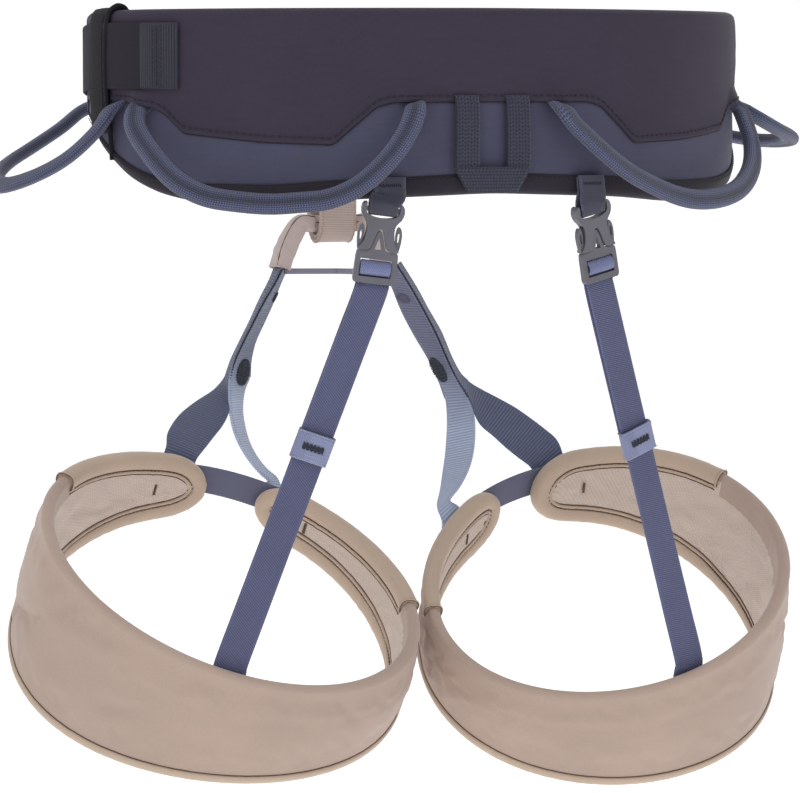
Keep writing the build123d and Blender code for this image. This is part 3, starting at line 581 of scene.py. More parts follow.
# ------------------------------------------------------------------ belt
BA, BB = 158.0, 103.0
TOP_D, TOP_Z = [0, 70, 95, 105, 110, 125, 140, 150], [42.5, 42, 41.5, 40.5, 38, 33, 29, 27]
BOT_D = [0, 15, 25, 38, 53, 64, 72, 79, 85, 90, 97, 110, 130, 150]
BOT_Z = [-40.5, -42.0, -43.0, -46.0, -45.0, -40.7, -34.8, -27.0, -20.5, -13.0, -8.0, -6.0, -7.0, -8.0]
SEAM_D = [0, 17, 20, 27.5, 40, 56.5, 61, 64, 72, 83, 97]
SEAM_Z = [0.9, 0.8, -1.2, -18.1, -17.0, -13.2, -4.9, -1.8, 0.3, 1.1, 1.2]
BAND_D = [0, 20, 38, 53, 64, 72, 80, 88, 97]
BAND_H = [9.0, 8.6, 9.2, 8.6, 7.0, 6.2, 5.5, 4.0, 3.0]
END = 142.0


def bp(d, z, off=0.0):
    t = math.radians(d)
    return A([(BA + off) * math.sin(t), (BB + off) * math.cos(t), z])


def bn(d):
    t = math.radians(d)
    return unit([math.sin(t) / BA, math.cos(t) / BB, 0.0])


def bt_dir(d):
    t = math.radians(d)
    return unit([BA * math.cos(t), -BB * math.sin(t), 0.0])


def top_z(d):
    return soft(lambda x: interp(abs(x), TOP_D, TOP_Z), d, 3.0)


def bot_z(d):
    return soft(lambda x: interp(abs(x), BOT_D, BOT_Z), d, 3.0)


def seam_z(d):
    return soft(lambda x: interp(abs(x), SEAM_D, SEAM_Z), d, 0.5)


def band_z(d):
    return bot_z(d) + soft(lambda x: interp(abs(x), BAND_D, BAND_H), d, 3.0)


def endf(d, end=END, reach=9.0):
    left = end - abs(d)
    if left >= reach:
        return 1.0
    return math.sqrt(max(0.0, 1.0 - (1.0 - left / reach) ** 2))


def belt_lims(d):
    z0, z1 = bot_z(d), top_z(d)
    f = endf(d)
    m, h = (z0 + z1) / 2, (z1 - z0) / 2
    return m - h * f, m + h * f


def belt_degs(a, b, step=1.6):
    c = np.linspace(a, b, int((b - a) / step))
    if abs(b) > END - 0.5:
        c = np.concatenate([c, [b - 0.12, b - 0.4, b - 0.9, b - 1.6, b - 2.6]])
    if abs(a) > END - 0.5:
        c = np.concatenate([c, [a + 0.12, a + 0.4, a + 0.9, a + 1.6, a + 2.6]])
    c = np.unique(np.round(c, 4))
    return c


def mixd(*ds):
    return np.unique(np.round(np.concatenate(ds), 4))


def belt_wrinkle(d, z):
    t = math.radians(d)
    return 0.35 * nz(BA * math.sin(t) * 0.03, BB * math.cos(t) * 0.03, z * 0.05) + 0.18 * nz(BA * math.sin(t) * 0.09, BB * math.cos(t) * 0.09, z * 0.16, 1.0)


def belt_core():
    """Padded core: rounded section, crowned on both faces."""
    rows = []
    for d in belt_degs(-141.6, 141.6):
        z0, z1 = belt_lims(d)
        z0, z1 = z0 + 0.8, z1 - 0.8
        h = max(0.2, (z1 - z0) / 2)
        m = (z0 + z1) / 2
        t0, t1 = -8.4, -2.4
        r = min(3.4, h)
        sec = []
        for k in range(17):
            x = -1 + 2 * k / 16
            sec.append((m + x * (h - r), t1 + 0.2 * (1 - x * x) * (h / 40)))
        for a in (30, 60, 90, 120, 150):
            q = math.radians(a)
            sec.append((m + (h - r) + r * math.sin(q), (t0 + t1) / 2 + (t1 - t0) / 2 * math.cos(q)))
        for k in range(17):
            x = 1 - 2 * k / 16
            sec.append((m + x * (h - r), t0 - 1.0 * (1 - x * x) * (h / 40)))
        for a in (210, 240, 270, 300, 330):
            q = math.radians(a)
            sec.append((m - (h - r) + r * math.sin(q), (t0 + t1) / 2 + (t1 - t0) / 2 * math.cos(q)))
        rows.append([bp(d, z, o) for z, o in sec])
    return grid("belt_pad", rows, [M["aub"], M["belt_in"]], False, True, mat_of=lambda i, j: 1 if 20 <= j <= 40 else 0)


def shell(name, degs, path, thick, mat, end_mat=None):
    """Closed shell: path(d) gives [(z, off)] up the outer face; thickness goes inwards of it."""
    rows = []
    for d in degs:
        q = A(path(d))
        t = np.gradient(q, axis=0)
        t /= np.maximum(1e-9, np.linalg.norm(t, axis=1))[:, None]
        n = np.stack([-t[:, 1], t[:, 0]], 1)   # (z, off) turned: towards the inside
        inner = q - n * thick
        h = thick / 2
        a0 = q[0] - n[0] * h - t[0] * h * 0.8
        a1 = q[-1] - n[-1] * h + t[-1] * h * 0.8
        sec = list(q) + [a1] + list(inner[::-1]) + [a0]
        rows.append([bp(d, z, o) for z, o in sec])
    return grid(name, rows, mat, False, True)


ROOTS = [(66.9, 3.5), (13.7, 2.7), (-66.0, 3.5), (-10.7, 2.7)]


def root_lift(d):
    """The cloth is lifted where a gear loop comes out from under its edge."""
    return sum(3.1 * math.exp(-abs((d - q) / w) ** 3.5) for q, w in ROOTS)


def upper_path(d):
    z0, z1 = belt_lims(d)
    lo = seam_z(d) if abs(d) < 96.0 else None
    pts = []
    if lo is None:
        # front parts: the cloth also turns round the lower edge
        f = endf(d)
        r = min(3.6, (z1 - z0) / 2 - 0.05)
        for a in (-150, -120, -90, -60, -30):
            q = math.radians(a)
            pts.append((z0 + r + r * math.sin(q), -4.5 + 4.5 * math.cos(q)))
        zb = z0 + r
    else:
        r = 3.6
        lift = root_lift(d)
        pts.append((lo, 0.12 + lift))
        pts.append((lo + 1.2, 0.35 + lift))
        pts.append((lo + 2.4, 0.05 + lift * 0.92))
        zb = lo + 4.0
    zt = z1 - r
    n = 17
    for k in range(n):
        x = k / (n - 1)
        z = zb + (zt - zb) * x
        cr = 0.7 * math.sin(math.pi * x) + belt_wrinkle(d, z) * math.sin(math.pi * x) ** 0.5
        # pressed flat under the strap and its keeper
        cr *= 1.0 - 0.9 * min(1.0, max(0.0, (d - 62.0) / 8.0))
        if lo is not None:
            cr += 0.75 * root_lift(d) * math.exp(-((z - zb) / 2.6) ** 2)
        pts.append((z, 0.15 + cr))
    for a in (25, 50, 75, 100, 125, 150):
        q = math.radians(a)
        pts.append((zt + r * math.sin(q), -4.5 + 4.6 * math.cos(q)))
    pts.append((zt - 1.5, -9.0))
    pts.append((zt - 4.5, -9.2))
    return pts


def lower_path(d):
    zb, zt = band_z(d), seam_z(d) + 3.0
    pts = []
    for k in range(9):
        x = k / 8
        z = (zb - 1.5) + (zt - zb + 1.5) * x
        pts.append((z, -0.95 + 0.35 * math.sin(math.pi * x) + (0.9 * belt_wrinkle(d + 40, z) + 0.35 * nz(d * 0.10 + z * 0.06, z * 0.16 - d * 0.03, 5.0)) * math.sin(math.pi * x) ** 0.5))
    return pts


def band_path(d):
    z0, zb = bot_z(d), band_z(d)
    r = 3.4
    pts = [(z0 + 5.5, -9.1), (z0 + r, -8.9)]
    for a in (-150, -125, -100, -75, -50, -25):
        q = math.radians(a)
        pts.append((z0 + r + r * math.sin(q), -4.5 + 4.3 * math.cos(q)))
    z1 = max(zb, z0 + r + 0.4)
    for k in range(4):
        x = k / 3
        pts.append((z0 + r + 0.2 + (z1 - z0 - r - 0.2) * x, -0.1 + 0.25 * math.sin(math.pi * x)))
    return pts


core = belt_core()
NC = len(core.data.vertices) // 44
puff(core, lambda i: (min(1.0, min(i // 44, NC - 1 - i // 44) / 6.0) * min(1.0, max(0.0, (0.5 - abs((i % 44 - 22) / 16 - 0.5) - 0.06) / 0.12))) if 22 <= i % 44 < 39 else 0.0, 4.0, 0.0015, 0.03)
own(core, "waist", ["belt_foam", "belt_lining", "belt_load_webbing"])
SEAM_EXTRA = np.array([s * v for v in (16.2, 17, 18, 19, 19.8, 20.6, 22, 24, 26, 27.1, 27.9, 29, 56, 57, 58.5, 60, 61.5, 63, 64.5) for s in (1, -1)], float)
ROOT_EXTRA = np.array([q + x for q, _ in ROOTS for x in np.arange(-4.5, 4.6, 0.6)])
up_c = shell("bu_c", mixd(belt_degs(-95.9, 95.9), SEAM_EXTRA, ROOT_EXTRA), upper_path, 0.8, M["aub"])
up_l = shell("bu_l", belt_degs(96.05, 142.0), upper_path, 0.8, M["aub"])
up_r = shell("bu_r", belt_degs(-142.0, -96.05), upper_path, 0.8, M["aub"])
own(join("belt_upper_cloth", [up_c, up_l, up_r]), "waist", ["belt_upper_panel"])
own(shell("belt_lower_cloth", mixd(belt_degs(-96.5, 96.5), SEAM_EXTRA), lower_path, 0.7, M["blue"]), "waist", ["belt_lower_panel"])
own(shell("belt_edge_cloth", belt_degs(-98.0, 98.0), band_path, 0.8, M["band"]), "waist", ["belt_bottom_band"])

# stitching of the belt, with dark tubes of painted shadow along the panel seam and along the top of the edge band
dd = np.arange(-94.0, 94.01, 0.8)
dd = mixd(dd, SEAM_EXTRA, ROOT_EXTRA)
st = [stitch_line("st1", [bp(d, seam_z(d) + 2.5, 0.35 + 0.92 * root_lift(d)) for d in dd], [bn(d) for d in dd], M["th_dark"], 3.2, 2.5, 0.30, 0.06, 0.25)]
dd2 = np.arange(-95, 95.01, 1.2)
st.append(stitch_line("st2", [bp(d, band_z(d) - 1.1, 0.05) for d in dd2], [bn(d) for d in dd2], M["th_dark"], 2.6, 2.1, 0.22, 0.05, 0.1))
# painted shadow: the next two tubes are dark lines in the seam under the upper panel and above the edge band
st.append(tube("st3", [bp(d, seam_z(d) - 0.35, -0.35) for d in dd], 0.38, M["gapd"], ns=6))
st.append(tube("st4", [bp(d, max(band_z(d), bot_z(d) + 3.8) + 0.25, -0.55) for d in dd2], 0.30, M["gapd"], ns=6))
for s in (1, -1):
    d3 = np.arange(98, 138.1, 1.0) * s
    st.append(stitch_line("st5", [bp(d, top_z(d) - 4.8, -9.35) for d in d3], [-bn(d) for d in d3], M["th_dark"], 3.0, 2.2, 0.22))
d3 = np.arange(-96, 96.1, 1.2)
st.append(stitch_line("st6", [bp(d, top_z(d) - 6.8, -9.75) for d in d3], [-bn(d) for d in d3], M["th_dark"], 3.0, 2.2, 0.22))
st.append(stitch_line("st7", [bp(d, bot_z(d) + 4.2, -9.75) for d in d3], [-bn(d) for d in d3], M["th_dark"], 3.0, 2.2, 0.22))
own(join("belt_stitching", st), "waist")


def belt_ribbon(name, degs, zc, off, w, t, mat, sub=6, **kw):
    C = [bp(d, z, o) for d, z, o in zip(degs, zc, off)]
    W = [(0, 0, 1)] * len(C)
    return sweep(name, C, W, w, t, mat, sub=sub, **kw)


def strap_zc(d):
    return interp(abs(d), [90.0, 150.0], [21.0, 10.0])


ROUTE = [(240, 0.4), (236, 0.4), (230, 0.4), (224, 0.4), (219, 0.3), (214, -0.8), (209, -2.2), (203, -3.2), (196, -3.6),
         (188, -3.8), (180, -3.8), (172, -3.8), (166, -3.6), (162.5, -3.2), (160.0, -1.6), (157.5, 1.4), (155.0, 3.4), (152.5, 4.3), (150.0, 4.5),
         (147.5, 4.3), (143, 3.4), (138, 2.7), (132, 2.3), (125, 2.2), (118, 2.1), (111, 1.3), (104, 0.6), (98, 0.3), (93, 0.2), (88, 0.2), (84, 0.2), (79.2, 0.3)]
ws = belt_ribbon("waist_webbing", [d for d, _ in ROUTE], [strap_zc(360 - d if d > 180 else d) for d, _ in ROUTE], [o + 0.85 for _, o in ROUTE], 30.0, 1.6, M["tail"], sub=5)
own(ws, "waist", ["waist_strap"])
# sewn box of the strap on the right pad
bx = []
for z in (-12.0, -9.0, 9.0, 12.0):
    dq = np.arange(-119, -103.9, 1.0)
    bx.append(stitch_line("bx", [bp(d, strap_zc(d) + z, 2.1) for d in dq - 0.0], [bn(d) for d in dq], M["th_grey"], 2.4, 1.9, 0.24))
for d0 in (-118.5, -116.8, -112.0, -106.0, -104.3):
    zz = np.linspace(-12, 12, 11)
    bx.append(stitch_line("bx", [bp(d0, strap_zc(d0) + z, 2.1) for z in zz], [bn(d0)] * 11, M["th_grey"], 2.2, 1.8, 0.24))
an = belt_ribbon("buckle_anchor", [114, 116, 122, 129, 136, 141, 145.5], [strap_zc(d) for d in (114, 116, 122, 129, 136, 141, 145.5)], [0.9, 1.0, 1.0, 1.0, 1.1, 1.3, 1.6], 31.0, 1.3, M["anchor"])
own(an, "waist", ["buckle_anchor_webbing"])
own(join("strap_box_stitching", bx), "waist")

# strap tail with its folded ribbed end, beyond the keeper
tdeg = [80.0, 78.4, 75, 71, 68, 65.2]
t1 = belt_ribbon("tail_a", tdeg, [21.0] * 6, [1.75] * 6, 30.0, 1.6, M["tail"])
t2 = belt_ribbon("tail_b", [66.6, 65.4, 62, 59.5, 57.8, 57.2], [21.0] * 6, [1.7, 2.0, 2.15, 2.15, 2.0, 1.8], [29.8] * 6, [2.2, 2.9, 3.2, 3.2, 2.8, 2.1], M["tail_rib"], sub=8)
zz = np.linspace(8.0, 34.0, 30)
ts = [stitch_line("ts", [bp(dq, z, 3.8) for z in zz], [bn(dq)] * 30, M["th_dark"], 0.95, 2.0, 0.22, 0.03, 0.05, cross=(0.35, 0.94)) for dq in (61.6,)]
ts += [stitch_line("ts", [bp(dq, z, 3.78) for z in zz], [bn(dq)] * 30, M["th_dark"], 2.0, 1.6, 0.20, 0.03, 0.05) for dq in (62.7, 60.6)]
tl = join("waist_tail", [t1, t2] + ts)
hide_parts("waist_tail_end")
tuple(bp(79.4, 21, 1.75) * MM)
tuple(bp(76.0, 21, 1.75) * MM)
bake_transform(tl)

# black elastic keeper with a rolled edge that runs on down to the belt's lower edge
def keeper_rows(a, b, out, inn):
    rows = []
    for d in np.linspace(a, b, 9):
        e = 1.0 - 0.35 * (abs(d - (a + b) / 2) / ((b - a) / 2)) ** 6
        zt = top_z(d)
        sec = [(-14.0, 0.4), (-13.4, 1.1 * e), (-10.0, 1.9 * e), (2, 2.5 * e), (14, 2.75 * e), (28, 2.75 * e), (36, 2.4 * e), (40, 1.5 * e), (zt + 0.6, -1.0), (zt + 1.3, -4.5), (zt + 0.4, -8.4), (36, -10.2), (28, -10.6),
               (28, -9.4), (36, -9.0), (zt - 0.8, -7.6), (zt, -4.5), (zt - 0.6, -1.6), (39, 0.8), (36, 1.5), (28, 1.95), (14, 1.95), (2, 1.8), (-10, 1.2), (-12.6, 0.5), (-13.4, 0.2)]
        rows.append([bp(d, z, o) for z, o in sec])
    return rows


kp = grid("k0", keeper_rows(78.8, 88.8, 5, 4), M["keeper"], False, True)
pipe = []
for zq in np.linspace(-26.0, 41.5, 24):
    o = np.interp(zq, [-26, -20, -13, 0, 14, 30, 38, 41.5], [0.2, 0.6, 1.1, 2.3, 2.7, 2.7, 2.0, 0.7])
    pipe.append(bp(78.6 + 0.4 * math.sin(zq * 0.09), zq, o))
pipe += [bp(78.6, 43.4, -2.2), bp(78.7, 43.9, -4.6), bp(78.7, 42.6, -7.6), bp(78.7, 38.0, -10.0), bp(78.7, 30.0, -10.6)]
k1 = tube("k1", pipe, 1.05, M["keeper"], sub=3, ns=10)
kz = np.linspace(-12, 38, 30)
k2 = stitch_line("k2", [bp(80.4, z, np.interp(z, [-12, 0, 14, 30, 38], [1.9, 2.6, 2.9, 2.9, 2.2])) for z in kz], [bn(80.4)] * 30, M["th_dark"], 2.6, 2.0, 0.22)
own(join("elastic_keeper", [kp, k1, k2]), "waist", ["tail_keeper"])

# buckle hardware keeps the CAD shapes, with softened edges
def finish_cad(node, mat, w=0.35, seg=3):
    ob = N[node]
    ob.data.materials.clear() if len(ob.data.materials) == 0 else None
    for i in range(len(ob.material_slots)):
        ob.material_slots[i].link = "OBJECT"
        ob.material_slots[i].material = mat
    if not ob.material_slots:
        ob.data.materials.append(mat)
    b = ob.modifiers.new("soft edges", "BEVEL")
    b.width = w * MM
    b.segments = seg
    b.limit_method = "ANGLE"
    b.angle_limit = math.radians(32)
    b.harden_normals = False
    b.use_clamp_overlap = True
    return ob


finish_cad("waist_buckle_frame", M["metal"], 0.7)
finish_cad("waist_buckle_slider", M["metal"], 0.6)

# ------------------------------------------------------------------ gear loops and haul loop
GEAR = {
    "rear_left": [(149.2, 41.4, -4.0), (151.6, 48.6, -11.6), (147.1, 59.1, -23.0), (140.0, 70.7, -33.9), (129.2, 80.9, -40.8), (116.5, 89.2, -43.2), (103.8, 95.5, -44.2),
                  (91.5, 101.0, -43.4), (79.1, 105.0, -41.9), (65.5, 108.6, -35.4), (53.0, 110.2, -24.0), (44.7, 109.6, -13.0), (40.4, 108.4, -4.0)],
    "rear_right": [(-148.0, 43.0, -4.0), (-149.4, 47.6, -11.0), (-151.0, 51.5, -22.3), (-144.6, 62.9, -33.0), (-130.2, 79.1, -41.2), (-110.6, 93.0, -44.6), (-91.2, 102.0, -43.0),
                   (-68.7, 108.4, -34.6), (-55.0, 111.0, -26.5), (-44.0, 111.0, -17.5), (-35.5, 109.6, -9.4), (-31.5, 108.6, -4.0)],
    "front_left": [(157.6, 27.0, -4.0), (164.0, 27.0, -13.0), (175.5, 20.0, -25.0), (188.0, 8.0, -33.5), (198.0, -8.0, -38.0), (198.5, -24.0, -35.5), (189.0, -38.0, -29.0),
                   (174.0, -46.0, -21.0), (159.5, -50.5, -12.5), (149.0, -51.0, -4.5)],
    "front_right": [(-157.6, 27.0, -4.0), (-165.5, 27.5, -8.5), (-178.0, 20.5, -13.5), (-190.5, 8.0, -17.0), (-198.5, -9.0, -19.5), (-195.5, -25.5, -20.5), (-184.5, -38.5, -19.0),
                    (-170.5, -46.5, -15.0), (-158.0, -50.5, -9.5), (-149.0, -51.5, -4.5)],
}


def gear_loop(name, pts):
    P = A(pts)
    a = unit(P[-1] - P[0])
    mid = (P[0] + P[-1]) / 2
    lp = unit(np.cross(a, P[len(P) // 2] - mid))
    # short root under the panel edge
    def root(p):
        d = math.degrees(math.atan2(p[0] / BA, p[1] / BB))
        return bp(d, p[2] + 4.0, -1.6)
    D = np.vstack([root(P[0]), P, root(P[-1])])
    C = catmull(D, 12)
    C = smooth_rows(C, 6)
    T = np.gradient(C, axis=0)
    T /= np.linalg.norm(T, axis=1)[:, None]
    W = np.cross(lp, T)
    W /= np.linalg.norm(W, axis=1)[:, None]
    Nn = np.cross(T, W)
    n = len(C)
    L = np.concatenate([[0], np.cumsum(np.linalg.norm(np.diff(C, axis=0), axis=1))])
    rows = []
    for i in range(n):
        e = min(L[i], L[-1] - L[i])
        k = min(1.0, e / 9.0)
        w, t = 9.8 - 0.6 * (1 - k), 6.0 - 3.4 * (1 - k)
        sec = []
        for q in range(24):
            th = 2 * math.pi * q / 24
            c, s = math.cos(th), math.sin(th)
            x = math.copysign(abs(c) ** 0.82, c) * w / 2
            y = math.copysign(abs(s) ** 0.82, s) * t / 2
            # shallow groove along both faces
            y -= math.copysign(0.35 * math.exp(-(x / 1.1) ** 2), y) if abs(y) > 1 else 0
            sec.append(C[i] + W[i] * x + Nn[i] * y)
        rows.append(sec)
    return grid("gear_" + name, rows, M["gear"], False, True)


for nme, pts in GEAR.items():
    own(gear_loop(nme, pts), "gear_" + nme, ["gear_loop_" + nme])

HX = 2.0
def haul():
    obs = []
    for s in (-1, 1):
        C = [(HX + s * 12.1, 103.2, 3.4), (HX + s * 12.1, 104.6, -0.5), (HX + s * 12.1, 105.2, -6), (HX + s * 12.2, 105.5, -14), (HX + s * 12.3, 105.4, -22), (HX + s * 12.2, 105.2, -29.5)]
        obs.append(sweep("h%d" % s, C, [(1, 0, 0)] * 6, 11.5, 1.5, M["haul"], sub=5, n=9))
    rows, Us, Vs = [], [], []
    ny = 9
    for i in range(25):
        x = -1 + 2 * i / 24
        sec, us, vs = [], [], []
        for j in range(ny):
            v = j / (ny - 1)
            z = -28.4 - 11.4 * v
            hw = np.interp(v, [0, 0.15, 1], [18.2, 18.0, 12.2])
            y = 106.7 - 0.5 * abs(x) ** 3 - (1.3 if abs(x) > 0.97 else 0)
            sec.append(A([HX + x * hw, y, z]))
            us.append(x * 18.0)
            vs.append(z)
        for j in range(ny - 1, -1, -1):
            v = j / (ny - 1)
            z = -28.4 - 11.4 * v
            hw = np.interp(v, [0, 0.15, 1], [18.2, 18.0, 12.2])
            sec.append(A([HX + x * hw, 105.3 - 0.3 * abs(x) ** 3, z]))
            us.append(x * 18.0)
            vs.append(z)
        rows.append(sec)
        Us.append(us + [us[0]])
        Vs.append(vs + [vs[0]])
    obs.append(grid("hb", rows, M["haul"], False, True, U=A(Us), V=A(Vs)))
    return join("haul_loop_tape", obs)


own(haul(), "haul", ["haul_loop"])

# ------------------------------------------------------------------ tie-in points, belay loop
TY, LZ, UZ = -120.0, -62.5, 8.0
upp = [(-33, -102.4), (-31, -103.6), (-26, -105.2), (-21, -111), (-15.5, -117.2), (-9, -119.9), (0, -120.4), (9, -119.9), (15.5, -117.2), (21, -111), (26, -105.2), (31, -103.6), (33, -102.4)]
u1 = sweep("u1", [(x, y, UZ) for x, y in upp], [(0, 0, 1)] * len(upp), 16.0, 3.4, M["belay"], sub=6, crown=0.3, n=9)
us = []
for z in (-6.0, 6.0):
    P = catmull([(x, y, UZ + z) for x, y in upp], 6)
    T = np.gradient(P, axis=0)
    nn = [unit(np.cross((0, 0, 1), t)) for t in T]
    for sg in (1, -1):
        us.append(stitch_line("us", [p + sg * n * 1.75 for p, n in zip(P, nn)], [sg * n for n in nn], M["th_brown"], 2.6, 2.0, 0.24))
own(join("upper_tie_in", [u1] + us), "waist", ["upper_tie_in_loop"])

b1 = []
C = [(x, TY, LZ) for x in np.linspace(-14.5, 14.5, 25)]
rows = []
for i, c in enumerate(C):
    x = c[0]
    r = 4.25 + 0.12 * math.sin(x * 1.9)
    rows.append([A([x, TY + r * math.cos(a), LZ + r * math.sin(a)]) for a in np.linspace(0, 2 * math.pi, 24, endpoint=False)])
b1.append(grid("b1", rows, M["sleeve"], False, True))
b1.append(tube("b2", [(x, TY + 4.35, LZ + 0.8) for x in np.linspace(-14, 14, 20)], 0.3, M["th_brown"], ns=6))
own(join("lower_tie_in", b1), "waist", ["lower_tie_in_bar"])

# belay loop: two plies, bartacks on the rear run
def belay():
    zb, zt, ro = -60.5, 16.0, 11.5
    pts = []
    for k in range(13):
        a = math.pi + math.pi * k / 12
        pts.append((0, TY + (ro - 2.0) * math.cos(a), zb + (ro - 2.0) * math.sin(a)))
    for k in range(1, 12):
        pts.append((0, TY + (ro - 2.0), zb + (zt - zb) * k / 12))
    for k in range(13):
        a = math.pi * k / 12
        pts.append((0, TY + (ro - 2.0) * math.cos(a), zt + (ro - 2.0) * math.sin(a)))
    for k in range(1, 12):
        pts.append((0, TY - (ro - 2.0), zt - (zt - zb) * k / 12))
    pts.append(pts[0])
    W = [(1, 0, 0)] * len(pts)
    a = sweep("bl1", pts, W, 19.0, 2.0, M["belay"], shift=0.98, pre=True, closed=True, n=11)
    b = sweep("bl2", pts, W, 19.0, 1.9, M["belay"], shift=-0.98, pre=True, closed=True, n=11)
    obs = [a, b]
    P = A(pts)
    ctr = A([0, TY, (zb + zt) / 2])
    T = np.gradient(P, axis=0)
    nn = A([unit(np.cross((1, 0, 0), t)) for t in T])
    # make the normals point outwards
    for i in range(len(P)):
        if np.dot(nn[i], P[i] - A([0, TY, min(max(P[i][2], zb), zt)])) < 0:
            nn[i] = -nn[i]
    for x in (-8.6, 8.6):
        Q = P + A([x, 0, 0])
        obs.append(stitch_line("bls", Q + nn * 2.0, nn, M["th_sand"], 1.5, 1.5, 0.36, 0.05, 0.06, cross=(0.75, 0.66)))
    for z0 in (-38.0, -22.0, -6.0):
        for x in np.linspace(-6.5, 6.5, 4):
            zz = np.linspace(z0 - 4, z0 + 4, 12)
            for sy in (1, -1):
                obs.append(stitch_line("blb", [(x, TY + sy * 11.55, z) for z in zz], [(0, sy, 0)] * 12, M["th_brown"], 0.75, 3.0, 0.2, 0.03, 0.1, cross=(0.1, 0.99)))
    return join("belay_loop_webbing", obs)


BL = belay()
BL.data.transform(Matrix.Translation((0.0010, 0.0, 0.0)))
own(BL, "belay", ["belay_loop"])

# ------------------------------------------------------------------ leg loops
def rot3(pitch, roll, yaw):
    cp, sp = math.cos(pitch), math.sin(pitch)
    cr, sr = math.cos(roll), math.sin(roll)
    cy, sy = math.cos(yaw), math.sin(yaw)
    rx = A([[1, 0, 0], [0, cp, sp], [0, -sp, cp]])
    ry = A([[cr, 0, -sr], [0, 1, 0], [sr, 0, cr]])
    rz = A([[cy, -sy, 0], [sy, cy, 0], [0, 0, 1]])
    return rz @ ry @ rx


LEGS = {
    "left": dict(c=(89.67, -4.0, -218.24), p=95.86, q=82.25, pitch=17.6, roll=10.8, yaw=0.2,
                 zt=(0.0, -20.44, 5.77, -0.42), zb=(-44.96, -32.2, -9.81, 4.96), a0=-161.5, a1=181.5, s=1,
                 bind=(122.0, -91.0), bridge=(176.5, 200.3), riser_psi=9.5),
    "right": dict(c=(-101.91, -4.0, -227.63), p=91.13, q=78.53, pitch=16.4, roll=0.0, yaw=3.7,
                  zt=(0.0, -26.16, -22.39, 1.12), zb=(-44.96, -35.4, -8.19, 3.53), a0=-185.0, a1=160.5, s=-1,
                  bind=(97.5, -119.0), bridge=(158.6, 180.0), riser_psi=-8.5),
}
for g in LEGS.values():
    g["m"] = rot3(math.radians(g["pitch"]), math.radians(g["roll"]), math.radians(g["yaw"]))
    g["c"] = A(g["c"])
LEG_T = 7.0


def fz(k, deg):
    p = math.radians(deg)
    return k[0] + k[1] * math.cos(p) + k[2] * math.sin(p) + k[3] * math.cos(2 * p)


def leg_pt(g, deg, z, off=0.0):
    s, c = math.sin(math.radians(deg)), math.cos(math.radians(deg))
    n = math.hypot(s / g["p"], c / g["q"])
    x, y = g["p"] * s + off * s / g["p"] / n, g["q"] * c + off * c / g["q"] / n
    return g["m"] @ A([x, y, z]) + g["c"]


def leg_n(g, deg):
    s, c = math.sin(math.radians(deg)), math.cos(math.radians(deg))
    n = math.hypot(s / g["p"], c / g["q"])
    return g["m"] @ A([s / g["p"] / n, c / g["q"] / n, 0])


REACH = 13.0


def leg_lims(g, d, end=True):
    t, b = fz(g["zt"], d), fz(g["zb"], d)
    if end:
        left = min(d - g["a0"], g["a1"] - d)
        if left < REACH:
            f = math.sqrt(max(0.0, 1.0 - (1.0 - left / REACH) ** 2.2))
            m, h = 0.5 * (t + b), 0.5 * (t - b)
            t, b = m + h * f, m - h * f
    return b, t


def leg_degs(g, step=2.0):
    a0, a1 = g["a0"], g["a1"]
    c = np.linspace(a0, a1, int((a1 - a0) / step))
    return mixd(c, a0 + A([0.05, 0.25, 0.6, 1.1, 2.4, 3.2]), a1 - A([0.05, 0.25, 0.6, 1.1, 2.4, 3.2]))


def in_arm(g, d):
    """How far past the joins of the rolled binding, in degrees; negative on the rear part."""
    b_out, b_in = max(g["bind"]), min(g["bind"])
    return max(d - b_out, b_in - d)


